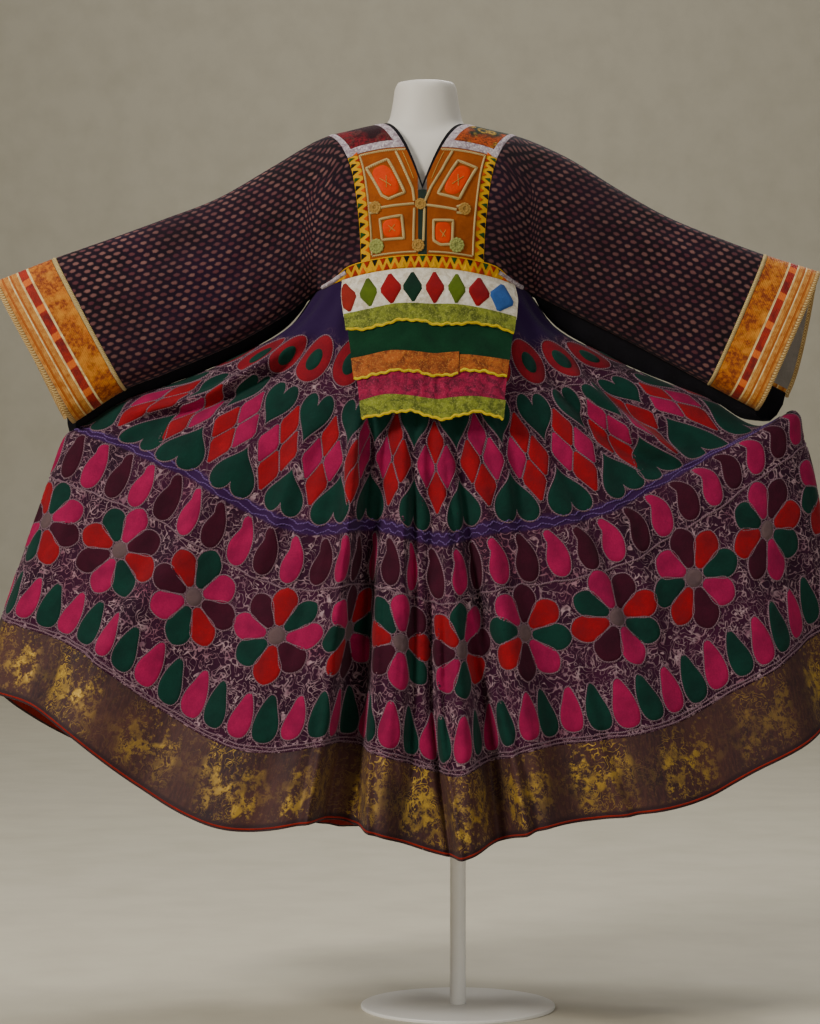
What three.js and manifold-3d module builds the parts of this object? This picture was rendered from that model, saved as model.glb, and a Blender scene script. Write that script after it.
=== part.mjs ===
// A patchwork bridal dress with spread sleeves and a fanned skirt, on a limbless dress form with a pole stand.
// Millimetres, +Z up, the front towards -Y. The origin is on the floor, on the pole's axis.
import * as THREE from "three";
import { mergeVertices } from "three/addons/utils/BufferGeometryUtils.js";
import Module from "manifold-3d";

const wasm = await Module();
wasm.setup();

// Driving dimensions
const seam = 0.3; // gap between pieces that are sewn together
const cloth = 1.6; // wall of sleeves, bodice and skirt
const bandWall = 2; // wall of cuffs, bib and braid
const edgeWall = 3; // rolled edge of a cuff
const gussetWall = 1.6;
const dressX = -59; // the dress's middle, beside the pole
const baseRadius = 160;
const baseHigh = 6;
const poleRadius = 13;
const formFoot = 800; // underside of the dress form
const formTop = 1525; // flat top of its neck
const bodiceSide = 175; // from the middle to where a sleeve begins
const cuffSeam = 2; // station of the seam between sleeve and cuff
const cuffEdge = 2.2; // station of the cuff's mouth
const waist = { half: 178, front: 122, back: 108, sideUp: 1176, rise: 33 };
const hem = { left: 734, right: 706, front: 290, back: 250 };
const borderTop = 0.865; // share of the skirt's length where the hem border begins
const facingTop = 0.93;
const skirtColumns = 112;
const goreCount = 8;
const borderCount = 4;

// The sleeves: the share of the table's reach at the top fold and the lower edge, the columns of its heights,
// the column of the gusset's hang, and how far the back half of the mouth reaches past the front half.
const left = { name: "left", sign: -1, topReach: 1, lowReach: 1, top: "topUp", low: "lowUp", hang: "left", past: 18 };
const right = {
  name: "right",
  sign: 1,
  topReach: 0.905,
  lowReach: 0.943,
  top: "topUpRight",
  low: "lowUpRight",
  hang: "right",
  past: 54,
};

// The T shape from the middle of the bodice (0) past the underarm (1) to the cuff (2 to 2.2).
// Out and Up place the top fold and the lower edge; front and back are the bulge, edge the half width of the lower gap.
const stationColumns = "at topOut topUp topUpRight lowOut lowUp lowUpRight front back edge mid".split(" ");
const stations = [
  [0, 0, 1457, 1457, 0, 1209, 1209, 130, 110, 1, 6],
  [0.35, 61, 1455, 1455, 60, 1205, 1205, 127, 108, 0.94, 6],
  [0.7, 122, 1443, 1443, 120, 1194, 1194, 106, 95, 0.74, 5],
  [1, 175, 1428, 1430, 171, 1178.5, 1178.5, 68, 66, 0.277, 3],
  [1.2, 250, 1384, 1399, 225, 1140, 1155, 55, 54, 0.13, 0],
  [1.4, 336, 1334, 1350, 292, 1101, 1124, 49, 48, 0.11, -4],
  [1.6, 425, 1299, 1304, 358, 1071, 1093, 46, 45, 0.1, -8],
  [1.8, 517, 1265, 1269, 425, 1043, 1059, 43, 43, 0.1, -12],
  [2, 609, 1232, 1238, 492, 1016, 1025, 41, 42, 0.1, -15],
  [2.2, 696, 1197, 1213, 568, 967, 987, 42, 46, 0.11, -18],
  [2.25, 718, 1188, 1206, 587, 955, 977, 42, 47, 0.11, -19],
].map((row) => Object.fromEntries(row.map((value, i) => [stationColumns[i], value])));
// Rows of the bodice: 0 is the front's lower edge, 0.5 the shoulder fold and 1 the back's lower edge.
const frontRows = [0, 0.027, 0.06, 0.1, 0.14, 0.18, 0.22, 0.26, 0.28, 0.295, 0.325, 0.38, 0.43, 0.465, 0.5];
const backRows = [0.53, 0.56, 0.6, 0.66, 0.73, 0.81, 0.9, 1];
const bodiceRows = [...frontRows, ...backRows];
const trimRow = 0.027;
// The same rows out on the sleeves, which bend most at their lower edges.
const sleeveFront = [0, 0.01, 0.025, 0.05, 0.085, 0.13, 0.18, 0.235, 0.29, 0.34, 0.385, 0.425, 0.465, 0.5];
const sleeveBack = [0.54, 0.59, 0.66, 0.75, 0.85, 0.93, 0.975, 1];
const sleeveRows = [...sleeveFront, ...sleeveBack];
const bibTopRow = 0.295;
const patchRow = 0.325;
const patchBackRow = 0.56;
const neckHalf = 70;
const neckShift = 4; // the neck stands a little to the right of the middle
const neckLow = 0.184; // row of the point of the V
const neckBack = 0.13; // rows from the shoulder fold to the back of the neck
const bindingWide = 8;
const plackHalf = 7;
const trimWide = 15;
const braidWide = 10;
// How far the bib's trim and the braid beside the sleeve lie from the middle, row by row.
const sleeveStart = [
  { at: 0, out: 100 },
  { at: 0.1, out: 103 },
  { at: 0.22, out: 112 },
  { at: 0.29, out: 121 },
  { at: 0.345, out: 131 },
  { at: 0.5, out: 160 },
  { at: 0.6, out: 138 },
  { at: 0.8, out: 122 },
  { at: 1, out: 118 },
];
// How far the gusset hangs between the sleeve's lower edges, down to just above the skirt.
const gussetHang = [
  { at: 1.05, left: 0, right: 0 },
  { at: 1.1, left: 9, right: 14 },
  { at: 1.2, left: 19, right: 32 },
  { at: 1.4, left: 21, right: 44 },
  { at: 1.6, left: 23, right: 50 },
  { at: 1.8, left: 23.5, right: 47 },
  { at: 2, left: 22, right: 40 },
  { at: 2.1, left: 23, right: 42 },
  { at: 2.2, left: 24, right: 29 },
];
// The skirt's side folds, where the cloth is held out: along them at is the share of the skirt's length.
const sideFolds = [
  { at: 0, leftOut: 178, leftUp: 1176, rightOut: 178, rightUp: 1176 },
  { at: 0.055, leftOut: 214, leftUp: 1124, rightOut: 216, rightUp: 1122 },
  { at: 0.15, leftOut: 292, leftUp: 1079, rightOut: 290, rightUp: 1081 },
  { at: 0.27, leftOut: 394, leftUp: 1034, rightOut: 382, rightUp: 1037 },
  { at: 0.38, leftOut: 490, leftUp: 1000, rightOut: 474, rightUp: 1002 },
  { at: 0.45, leftOut: 550, leftUp: 962, rightOut: 552, rightUp: 958 },
  { at: 0.5, leftOut: 584, leftUp: 943, rightOut: 614, rightUp: 984 },
  { at: 0.56, leftOut: 606, leftUp: 890, rightOut: 628, rightUp: 945 },
  { at: 0.64, leftOut: 628, leftUp: 826, rightOut: 647, rightUp: 874 },
  { at: 0.82, leftOut: 680, leftUp: 680, rightOut: 679, rightUp: 686 },
  { at: 1, leftOut: 734, leftUp: 534, rightOut: 706, rightUp: 492 },
];
// Height of the hem across the dress, from its left corner (-1) to its right corner (1).
const hemHeights = [
  { at: -1, front: 534, back: 534 },
  { at: -0.94, front: 524, back: 494 },
  { at: -0.79, front: 481, back: 424 },
  { at: -0.62, front: 386, back: 366 },
  { at: -0.475, front: 334, back: 326 },
  { at: -0.365, front: 321, back: 300 },
  { at: -0.2, front: 336, back: 274 },
  { at: -0.1, front: 318, back: 268 },
  { at: 0.07, front: 282, back: 268 },
  { at: 0.15, front: 298, back: 266 },
  { at: 0.27, front: 326, back: 268 },
  { at: 0.4, front: 337, back: 282 },
  { at: 0.64, front: 368, back: 348 },
  { at: 0.78, front: 416, back: 394 },
  { at: 0.92, front: 468, back: 456 },
  { at: 1, front: 492, back: 492 },
];
// The skirt's main folds: at runs from the left side (-1) to the right side (1) of each half, deep is outwards,
// from, full and to are the shares of the length where the fold starts, is whole, and has gone again.
const foldColumns = "at wide deep from full to".split(" ");
const foldTable = (rows) => rows.map((row) => Object.fromEntries(foldColumns.map((key, i) => [key, row[i]])));
const frontFolds = foldTable([
  [-0.8, 0.035, -12, 0.1, 0.35, 0.62],
  [-0.86, 0.05, 10, 0.5, 0.9, 9],
  [-0.76, 0.05, -14, 0.4, 1, 9],
  [-0.66, 0.05, 12, 0.4, 1, 9],
  [-0.56, 0.045, -14, 0.2, 0.9, 9],
  [-0.43, 0.05, 12, 0.2, 0.9, 9],
  [-0.335, 0.04, 18, 0.12, 0.8, 9],
  [-0.225, 0.048, -48, 0.1, 0.9, 9],
  [-0.11, 0.045, 22, 0.1, 0.8, 9],
  [0, 0.045, -12, 0.15, 0.9, 9],
  [0.13, 0.05, 30, 0.15, 1, 9],
  [0.22, 0.036, -32, 0.1, 0.9, 9],
  [0.3, 0.04, 16, 0.15, 0.9, 9],
  [0.4, 0.045, -24, 0.3, 1, 9],
  [0.51, 0.06, 14, 0.3, 1, 9],
  [0.62, 0.05, -12, 0.3, 1, 9],
  [0.73, 0.05, 12, 0.3, 1, 9],
  [0.765, 0.03, -18, 0.1, 0.3, 0.62],
  [0.84, 0.045, -12, 0.5, 1, 9],
]);
const backFolds = foldTable([
  [-0.8, 0.06, -14, 0.3, 1, 9],
  [-0.64, 0.06, 14, 0.3, 1, 9],
  [-0.5, 0.05, -18, 0.2, 1, 9],
  [-0.36, 0.05, 20, 0.15, 0.9, 9],
  [-0.24, 0.045, -32, 0.1, 0.9, 9],
  [-0.1, 0.05, 24, 0.1, 0.9, 9],
  [0.03, 0.045, -26, 0.1, 0.9, 9],
  [0.16, 0.05, 24, 0.1, 0.9, 9],
  [0.29, 0.048, -36, 0.1, 0.9, 9],
  [0.42, 0.05, 18, 0.2, 1, 9],
  [0.57, 0.06, -16, 0.3, 1, 9],
  [0.72, 0.06, 14, 0.3, 1, 9],
  [0.86, 0.05, -10, 0.3, 1, 9],
]);
const gathers = { count: 28, deep: 3.2, peak: 0.06 }; // small gathers under the waist seam
const ripples = { count: 14, deep: 7, reach: 0.55 }; // soft folds between the main ones
// How the cloth's turn is spread over each half: the first number alone would spread it evenly.
const spread = [0.45, 1.1, -0.55];
const sidePower = 5; // how fast the side fold fades towards the middle
// The apron's bands: where each begins and ends down its length, and how far it lies over the one below.
// Its bands sag by sideDrop at their ends and rise by arch in the middle, as shares of its length.
const apron = {
  topHalf: 139,
  lowHalf: 113,
  topMid: 10,
  lowMid: 12,
  share: 0.278,
  start: 0.5,
  clear: 10,
  flare: 14,
  sideDrop: 0.052,
  arch: 0.055,
};
const apronBands = [
  { name: "apron_white", top: 0, low: 0.255, layer: 0, from: -1, to: 1, ruffle: 0, colour: 0xe4dac6 },
  { name: "apron_green", top: 0.258, low: 0.6, layer: 0, from: -0.97, to: 0.98, ruffle: 0, colour: 0x0f4a35 },
  { name: "apron_crimson", top: 0.603, low: 0.9, layer: 0, from: -0.93, to: 0.97, ruffle: 2, colour: 0x9a1c48 },
  { name: "apron_ribbon_top", top: 0.235, low: 0.365, layer: 1, from: -0.99, to: 0.99, ruffle: 3, colour: 0x8f9a33 },
  { name: "apron_orange_left", top: 0.56, low: 0.71, layer: 1, from: -0.97, to: 0.36, ruffle: 2, colour: 0xb0682a },
  { name: "apron_orange_right", top: 0.58, low: 0.7, layer: 1, from: 0.37, to: 0.97, ruffle: 2, colour: 0xb0682a },
  { name: "apron_ribbon_low", top: 0.87, low: 1, layer: 1, from: -0.93, to: 0.98, ruffle: 4, colour: 0x7d8230 },
];
const layerStep = bandWall + seam;
// Round embroidered buttons on the bib: place across from the middle and row up the bodice.
const rosettes = [
  { name: "rosette_low_left", across: -75, row: 0.053, radius: 12, colour: 0xc9cf86 },
  { name: "rosette_low_right", across: 56, row: 0.052, radius: 12, colour: 0xc9cf86 },
  { name: "rosette_low_middle", across: -7, row: 0.047, radius: 10, colour: 0xd9a35c },
  { name: "rosette_neck", across: -3, row: 0.137, radius: 9, colour: 0xe2c084 },
  { name: "rosette_side_left", across: -77, row: 0.137, radius: 10, colour: 0xd8b070 },
  { name: "rosette_side_right", across: 69, row: 0.132, radius: 10, colour: 0xd8b070 },
];
const rosetteHigh = 3;
const colours = {
  stand: 0xf0ece2,
  dotted: 0x2a1420,
  black: 0x0b090c,
  cuff: 0xb5651d,
  cream: 0xe6d3a8,
  bib: 0xb4652a,
  yellow: 0xe0b62a,
  braid: 0xc9bfc0,
  patchLeft: 0x4a1420,
  patchRight: 0x6a4a1c,
  placket: 0x3a4a3c,
  skirt: 0x5a2148,
  border: 0x5b3a30,
  facing: 0xa5321c,
  lining: 0xa79c92,
};

const mix = (a, b, t) => a + (b - a) * t;
const clamp01 = (t) => Math.min(1, Math.max(0, t));
const smooth = (t) => {
  const c = clamp01(t);
  return c * c * (3 - 2 * c);
};

// A column of a table at any place between its rows, on one smooth curve.
function along(table, column, at) {
  const last = table.length - 1;
  const place = Math.min(Math.max(at, table[0].at), table[last].at);
  let i = 0;
  while (i < last - 1 && place > table[i + 1].at) i += 1;
  const a = table[i];
  const b = table[i + 1];
  const before = table[Math.max(i - 1, 0)];
  const after = table[Math.min(i + 2, last)];
  const span = b.at - a.at;
  const slopeA = ((b[column] - before[column]) / (b.at - before.at)) * span;
  const slopeB = ((after[column] - a[column]) / (after.at - a.at)) * span;
  const t = (place - a.at) / span;
  const t2 = t * t;
  const t3 = t2 * t;
  return (
    (2 * t3 - 3 * t2 + 1) * a[column] + (t3 - 2 * t2 + t) * slopeA + (3 * t2 - 2 * t3) * b[column] + (t3 - t2) * slopeB
  );
}

// A point of the bodice and sleeve: station runs out along the arm, row from the front edge over the fold to the back.
function teePoint(side, station, row) {
  const inFront = row < 0.5;
  const climb = inFront ? 2 * row : 2 * (1 - row);
  const reach = (out, share) => (station > 1 ? bodiceSide + (out - bodiceSide) * share : out);
  const topOut = reach(along(stations, "topOut", station), side.topReach);
  const lowOut = reach(along(stations, "lowOut", station), side.lowReach);
  const ring = Math.sqrt(Math.max(0, 1 - (lowOut / waist.half) ** 2));
  const onBodice = station <= 1;
  const lowUp = onBodice ? waist.sideUp + waist.rise * ring * ring : along(stations, side.low, station);
  const share = onBodice ? ring : along(stations, "edge", station);
  const edge = share * (inFront ? waist.front : waist.back);
  const deep = along(stations, inFront ? "front" : "back", station);
  const sleeve = smooth((station - 0.55) / 0.8);
  const turn = (Math.PI / 2) * climb;
  const bodyUp = Math.sin(turn);
  const bodyDeep = mix(edge, deep, smooth(climb / 0.3)) * Math.max(0, Math.cos(turn)) ** 0.55;
  const sleeveUp = (1 - Math.cos(2 * turn)) / 2;
  const sleeveDeep = edge * (1 - climb) + deep * Math.max(0, Math.sin(2 * turn)) ** 0.8;
  const up = mix(bodyUp, sleeveUp, sleeve);
  const depth = mix(bodyDeep, sleeveDeep, sleeve);
  const past = inFront ? 0 : side.past * smooth((station - 1.1) / 0.9) * smooth((1 - climb) / 0.8);
  const out = mix(lowOut, topOut, up) + past;
  const high = mix(lowUp, along(stations, side.top, station), up) + 0.42 * past;
  const middle = along(stations, "mid", station) * smooth(climb / 0.2);
  return new THREE.Vector3(dressX + side.sign * out, middle + (inFront ? -depth : depth), high);
}

// The same shape by its distance across the bodice, which runs over the middle.
function bodicePoint(across, row) {
  return teePoint(across < 0 ? left : right, Math.abs(across) / bodiceSide, row);
}

const foldSum = (folds, at, down) =>
  folds.reduce((sum, f) => {
    const shown = smooth((down - f.from) / (f.full - f.from)) * (1 - smooth((down - f.to + 0.2) / 0.2));
    return sum + f.deep * Math.exp(-(((at - f.at) / f.wide) ** 2)) * shown;
  }, 0);

// The skirt without folds: across is the sine of the angle from the front and fore its cosine, fold is outwards.
function skirtShape(across, fore, down, inFront, fold) {
  const towards = inFront ? -1 : 1;
  const half = across < 0 ? hem.left : hem.right;
  const key = across < 0 ? "left" : "right";
  const depthTop = inFront ? waist.front : waist.back;
  const depthLow = inFront ? hem.front : hem.back;
  const topUp = waist.sideUp + waist.rise * fore * fore;
  const lowUp = along(hemHeights, inFront ? "front" : "back", across);
  const cornerUp = along(hemHeights, "front", Math.sign(across));
  const flare = Math.max(0, down) ** 1.1;
  const side = Math.abs(across) ** sidePower;
  const outFold = along(sideFolds, key + "Out", down) - mix(waist.half, half, flare);
  const upFold = along(sideFolds, key + "Up", down) - mix(waist.sideUp, cornerUp, down);
  const facing = new THREE.Vector2(across / half, (towards * fore) / depthLow).normalize();
  return new THREE.Vector3(
    dressX + across * mix(waist.half, half, flare) + Math.sign(across) * side * outFold + facing.x * fold,
    towards * fore * mix(depthTop, depthLow, flare) + facing.y * fold,
    mix(topUp, lowUp, down) + side * upFold,
  );
}

// A point of the skirt: round runs once round from the left side over the front, down from the waist to the hem.
function skirtPoint(round, down) {
  const turn = ((round % 1) + 1) % 1;
  const inFront = turn < 0.5;
  const at = 4 * (inFront ? turn : turn - 0.5) - 1;
  const angle = (Math.PI / 2) * (spread[0] * at + spread[1] * at ** 3 + spread[2] * at ** 5);
  const across = inFront ? Math.sin(angle) : -Math.sin(angle);
  const soft = smooth((ripples.reach - Math.abs(at)) / ripples.reach) * smooth((down - 0.05) / 0.5);
  const ripple = ripples.deep * soft * Math.cos(Math.PI * ripples.count * at);
  const gather = (down / gathers.peak) * Math.exp(1 - down / gathers.peak);
  const crimp = gathers.deep * gather * Math.cos(2 * Math.PI * gathers.count * turn);
  const fold = foldSum(inFront ? frontFolds : backFolds, at, down) + ripple + crimp;
  return skirtShape(across, Math.cos(angle), down, inFront, fold);
}

// The outward direction of a surface at a place, where inside gives a point behind it.
function outward(surface, inside, a, b) {
  const step = 1e-3;
  const alongA = surface(a + step, b).sub(surface(a - step, b));
  const alongB = surface(a, b + step).sub(surface(a, b - step));
  const normal = alongA.cross(alongB).normalize();
  const away = surface(a, b).sub(inside(a, b));
  return normal.dot(away) < 0 ? normal.negate() : normal;
}

// A closed wall between two grids of points, joined round if the columns close on themselves.
function wallBetween(outer, inner, closed = false) {
  const rows = outer.length;
  const columns = outer[0].length;
  const positions = [...outer.flat(), ...inner.flat()].flatMap((p) => [p.x, p.y, p.z]);
  const index = [];
  const at = (layer, i, j) => layer * rows * columns + i * columns + (j % columns);
  const quad = (a, b, c, d) => index.push(a, b, c, a, c, d);
  const spans = closed ? columns : columns - 1;
  for (let i = 0; i < rows - 1; i += 1) {
    for (let j = 0; j < spans; j += 1) {
      quad(at(0, i, j), at(0, i, j + 1), at(0, i + 1, j + 1), at(0, i + 1, j));
      quad(at(1, i, j), at(1, i + 1, j), at(1, i + 1, j + 1), at(1, i, j + 1));
    }
  }
  for (let j = 0; j < spans; j += 1) {
    quad(at(0, 0, j), at(1, 0, j), at(1, 0, j + 1), at(0, 0, j + 1));
    quad(at(0, rows - 1, j), at(0, rows - 1, j + 1), at(1, rows - 1, j + 1), at(1, rows - 1, j));
  }
  if (!closed) {
    for (let i = 0; i < rows - 1; i += 1) {
      quad(at(0, i, 0), at(0, i + 1, 0), at(1, i + 1, 0), at(1, i, 0));
      quad(at(0, i, columns - 1), at(1, i, columns - 1), at(1, i + 1, columns - 1), at(0, i + 1, columns - 1));
    }
  }
  const geometry = new THREE.BufferGeometry();
  geometry.setAttribute("position", new THREE.Float32BufferAttribute(positions, 3));
  geometry.setIndex(index);
  return facingOut(geometry);
}

// Turns the faces round if they point inwards.
function facingOut(geometry) {
  const p = geometry.getAttribute("position");
  const index = geometry.getIndex().array;
  const corner = (k) => new THREE.Vector3().fromBufferAttribute(p, index[k]);
  let volume = 0;
  for (let k = 0; k < index.length; k += 3) volume += corner(k).dot(corner(k + 1).cross(corner(k + 2)));
  if (volume < 0) for (let k = 0; k < index.length; k += 3) [index[k], index[k + 1]] = [index[k + 1], index[k]];
  geometry.computeVertexNormals();
  return geometry;
}

// A wall on a surface: places is a grid of [a, b], and it reaches from lift to lift + thick outside the surface.
function wallOn(surface, inside, places, thick, lift = 0, closed = false) {
  const moved = (distance) =>
    places.map((row) => row.map(([a, b]) => surface(a, b).addScaledVector(outward(surface, inside, a, b), distance)));
  return wallBetween(moved(lift + thick), moved(lift), closed);
}

const group = new THREE.Group();
function add(name, geometry, colour, roughness = 0.9) {
  const material = new THREE.MeshStandardMaterial({ color: colour, roughness, metalness: 0 });
  const mesh = new THREE.Mesh(geometry, material);
  mesh.name = name;
  group.add(mesh);
}

const grid = (rowValues, columnCount, place) =>
  rowValues.map((row) => Array.from({ length: columnCount + 1 }, (_, j) => place(row, j / columnCount)));
const steps = (count, from = 0, to = 1) => Array.from({ length: count + 1 }, (_, i) => mix(from, to, i / count));

// Stand: a plate on the floor and a pole up to the form.
function buildStand() {
  const bevel = 1.5;
  const profile = [
    [0, 0],
    [baseRadius - bevel, 0],
    [baseRadius, bevel],
    [baseRadius, baseHigh - bevel],
    [baseRadius - bevel, baseHigh],
    [0, baseHigh],
  ].map(([x, y]) => new THREE.Vector2(x, y));
  add("stand_base", new THREE.LatheGeometry(profile, 40).rotateX(Math.PI / 2), colours.stand, 0.5);
  const low = baseHigh + seam;
  const high = formFoot - seam;
  const pole = new THREE.CylinderGeometry(poleRadius, poleRadius, high - low, 24);
  add("stand_pole", pole.rotateX(Math.PI / 2).translate(0, 0, (low + high) / 2), colours.stand, 0.4);
}

// The dress form is a neck, the shoulders that carry the dress, and a torso down to a flat underside.
const neckRings = [
  { up: 1405, x: 68, y: 60, mid: -5, shift: neckShift + 2 },
  { up: 1440, x: 65, y: 56, mid: -3, shift: neckShift + 2 },
  { up: 1456, x: 62, y: 54, mid: -2, shift: neckShift + 2 },
  { up: 1478, x: 57, y: 52, mid: -2, shift: neckShift + 2 },
  { up: 1502, x: 53, y: 50, mid: -3, shift: neckShift + 2 },
  { up: 1519, x: 51, y: 49, mid: -3, shift: neckShift + 2 },
  { up: 1524, x: 49.5, y: 47.5, mid: -3, shift: neckShift + 2 },
  { up: 1525, x: 46, y: 44, mid: -3, shift: neckShift + 2 },
];
const torsoRings = [
  { up: 800, x: 132, y: 84, mid: 4, shift: 34 },
  { up: 804, x: 138, y: 90, mid: 4, shift: 34 },
  { up: 860, x: 160, y: 104, mid: 6, shift: 26 },
  { up: 930, x: 164, y: 106, mid: 6, shift: 18 },
  { up: 1000, x: 152, y: 98, mid: 4, shift: 12 },
  { up: 1080, x: 134, y: 90, mid: 2, shift: 8 },
  { up: 1150, x: 136, y: 92, mid: 0, shift: 4 },
  { up: 1205, x: 138, y: 92, mid: -1, shift: 2 },
  { up: 1250, x: 138, y: 92, mid: -1, shift: 0 },
];
const ringSides = 28;

function ringStack(rings) {
  const loops = rings.map((ring) =>
    steps(ringSides, 0, 2 * Math.PI)
      .slice(0, ringSides)
      .map(
        (a) =>
          new THREE.Vector3(dressX + ring.shift + ring.x * Math.sin(a), ring.mid - ring.y * Math.cos(a), ring.up),
      ),
  );
  return cappedLoops(loops);
}

// A solid through a row of closed loops, with a flat fan on each end.
function cappedLoops(loops) {
  const count = loops[0].length;
  const points = loops.flat();
  const index = [];
  for (let i = 0; i < loops.length - 1; i += 1) {
    for (let j = 0; j < count; j += 1) {
      const a = i * count + j;
      const b = i * count + ((j + 1) % count);
      index.push(a, b, b + count, a, b + count, a + count);
    }
  }
  [loops[0], loops[loops.length - 1]].forEach((loop, end) => {
    const start = end ? (loops.length - 1) * count : 0;
    const middle = points.length;
    points.push(loop.reduce((sum, p) => sum.add(p), new THREE.Vector3()).divideScalar(count));
    for (let j = 0; j < count; j += 1) {
      const next = start + ((j + 1) % count);
      index.push(...(end ? [start + j, next, middle] : [next, start + j, middle]));
    }
  });
  const geometry = new THREE.BufferGeometry();
  geometry.setAttribute("position", new THREE.Float32BufferAttribute(points.flatMap((p) => [p.x, p.y, p.z]), 3));
  geometry.setIndex(index);
  return facingOut(geometry);
}

function toManifold(geometry) {
  const bare = geometry.clone();
  bare.deleteAttribute("normal");
  bare.deleteAttribute("uv");
  const merged = mergeVertices(bare, 1e-4);
  return new wasm.Manifold(
    new wasm.Mesh({
      numProp: 3,
      vertProperties: merged.getAttribute("position").array,
      triVerts: new Uint32Array(merged.getIndex().array),
    }),
  );
}

function fromManifold(solid) {
  const mesh = solid.getMesh();
  const geometry = new THREE.BufferGeometry();
  geometry.setAttribute("position", new THREE.Float32BufferAttribute(mesh.vertProperties, 3));
  geometry.setIndex(Array.from(mesh.triVerts));
  geometry.computeVertexNormals();
  return geometry;
}

// The shoulders follow the bodice just inside its cloth and end in rounded caps inside the sleeves.
const shoulderEnd = 158;
const shoulderFloor = 1232;
function shoulderSolid() {
  const seat = bandWall + 0.5; // the cloth's wall and the gap to it
  const loops = steps(12, -1, 1).map((share) => {
    const across = shoulderEnd * Math.sin((Math.PI / 2) * share);
    const shrink = Math.sqrt(Math.max(0.12, 1 - Math.abs(across / shoulderEnd) ** 8));
    const loop = bodiceRows
      .filter((row) => row >= 0.1 && row <= 0.9)
      .map((row) => {
        const inset = mix(12, seat, smooth(1 - Math.abs(row - 0.5) / 0.22));
        const p = bodicePoint(across, row).addScaledVector(outward(bodicePoint, bodiceInside, across, row), -inset);
        p.y = mix(along(stations, "mid", 0), p.y, shrink);
        return p;
      });
    const first = loop[0].clone().setZ(shoulderFloor);
    const last = loop[loop.length - 1].clone().setZ(shoulderFloor);
    return [first, ...loop, last];
  });
  return cappedLoops(loops);
}

function bodiceInside(across) {
  const station = Math.abs(across) / bodiceSide;
  return new THREE.Vector3(dressX + across, along(stations, "mid", station), 1320);
}
const teeInside = (side) => (station) => {
  const out = mix(along(stations, "lowOut", station), along(stations, "topOut", station), 0.5);
  const high = mix(along(stations, "lowUp", station), along(stations, "topUp", station), 0.5);
  return new THREE.Vector3(dressX + side.sign * out, along(stations, "mid", station), high);
};

function buildForm() {
  const parts = [ringStack(torsoRings), ringStack(neckRings), shoulderSolid()].map(toManifold);
  add("dress_form", fromManifold(parts[0].add(parts[1]).add(parts[2])), colours.stand, 0.55);
}

// The bib's inner edge follows the V, and its outer edge the trim.
const neckEdge = (side, row, wide) => {
  const low = neckLow - wide / 700;
  const half = neckHalf + wide + side.sign * neckShift;
  const back = Math.sqrt(Math.max(0, 1 - ((row - 0.5) / (neckBack + wide / 500)) ** 2));
  return half * (row < 0.5 ? (row - low) / (0.5 - low) : back);
};
const sleeveEdge = (row) => along(sleeveStart, "out", row);
const bibInner = (side) => (row) => Math.max(plackHalf + seam, neckEdge(side, row, bindingWide + 0.6));

// The waist trim narrows to nothing at the underarm, where the sleeve's own lower edge takes over.
const trimFloor = (across) => trimRow * (1 - smooth((across - 120) / (bodiceSide - 6 - 120)));
const bodiceColumns = steps(5);
const sleeveColumns = [1.05, 1.1, 1.2, 1.33, 1.48, 1.64, 1.81, cuffSeam - 0.018];

function buildSleeve(side) {
  const rows = bodiceRows.filter((row) => row >= trimRow);
  const surface = (station, row) => teePoint(side, station, row);
  const places = rows.map((row, i) => {
    const start = (sleeveEdge(row) + seam) / bodiceSide;
    const onBodice = bodiceColumns.map((share) => mix(start, 1, share));
    const body = onBodice.map((station) => [station, i ? row : trimFloor(station * bodiceSide) + 0.0008 * (station < 1)]);
    const arm = sleeveColumns.map((station) => {
      const from = i ? row : 0;
      return [station, mix(from, sleeveRows[i], smooth((station - 1) / 0.1))];
    });
    return [...body, ...arm];
  });
  add("sleeve_" + side.name, wallOn(surface, teeInside(side), places, cloth, -cloth), colours.dotted);
}

// The gusset closes the sleeve from below: it starts inside both lower edges and hangs between them.
function buildUnderarm(side) {
  const surface = (station, row) => teePoint(side, station, row);
  const inset = (station) => cloth + 2 * seam + (station < 1.1 ? 2.5 : 0);
  const inner = (station, row) =>
    surface(station, row).addScaledVector(outward(surface, teeInside(side), station, row), -inset(station));
  const loops = [...sleeveColumns, 2.1, cuffEdge].map((station) => {
    const drop = along(gussetHang, side.hang, station);
    const front = inner(station, 0.0005).add(new THREE.Vector3(0, 1.2, 0));
    const back = inner(station, 0.9995).add(new THREE.Vector3(0, -1.2, 0.4));
    const across = (share, hang) => front.clone().lerp(back, share).add(new THREE.Vector3(0, 0, -hang));
    const under = [0.08, 0.28, 0.5, 0.72, 0.92].map((share) => {
      return across(share, 2.5 + drop * Math.sin(Math.PI * share) ** 0.6);
    });
    const tuck = [inner(station, 0.025), inner(station, 0.01)];
    return [...tuck, front, ...under, back, inner(station, 0.975).add(new THREE.Vector3(0, 0, 1))];
  });
  add("underarm_" + side.name, wallBetween(loops, movedIn(loops, gussetWall)), colours.black);
}

// The same grid moved to its upper side by a distance, along the directions that its neighbours give.
function movedIn(points, distance) {
  const near = (list, i) => list[Math.min(Math.max(i, 0), list.length - 1)];
  return points.map((row, i) =>
    row.map((point, j) => {
      const alongRow = near(row, j + 1).clone().sub(near(row, j - 1)).normalize();
      const acrossRows = near(points, i + 1)[j].clone().sub(near(points, i - 1)[j]).normalize();
      const normal = alongRow.cross(acrossRows).normalize();
      return point.clone().addScaledVector(normal, points[0][0].x < dressX ? distance : -distance);
    }),
  );
}

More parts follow.
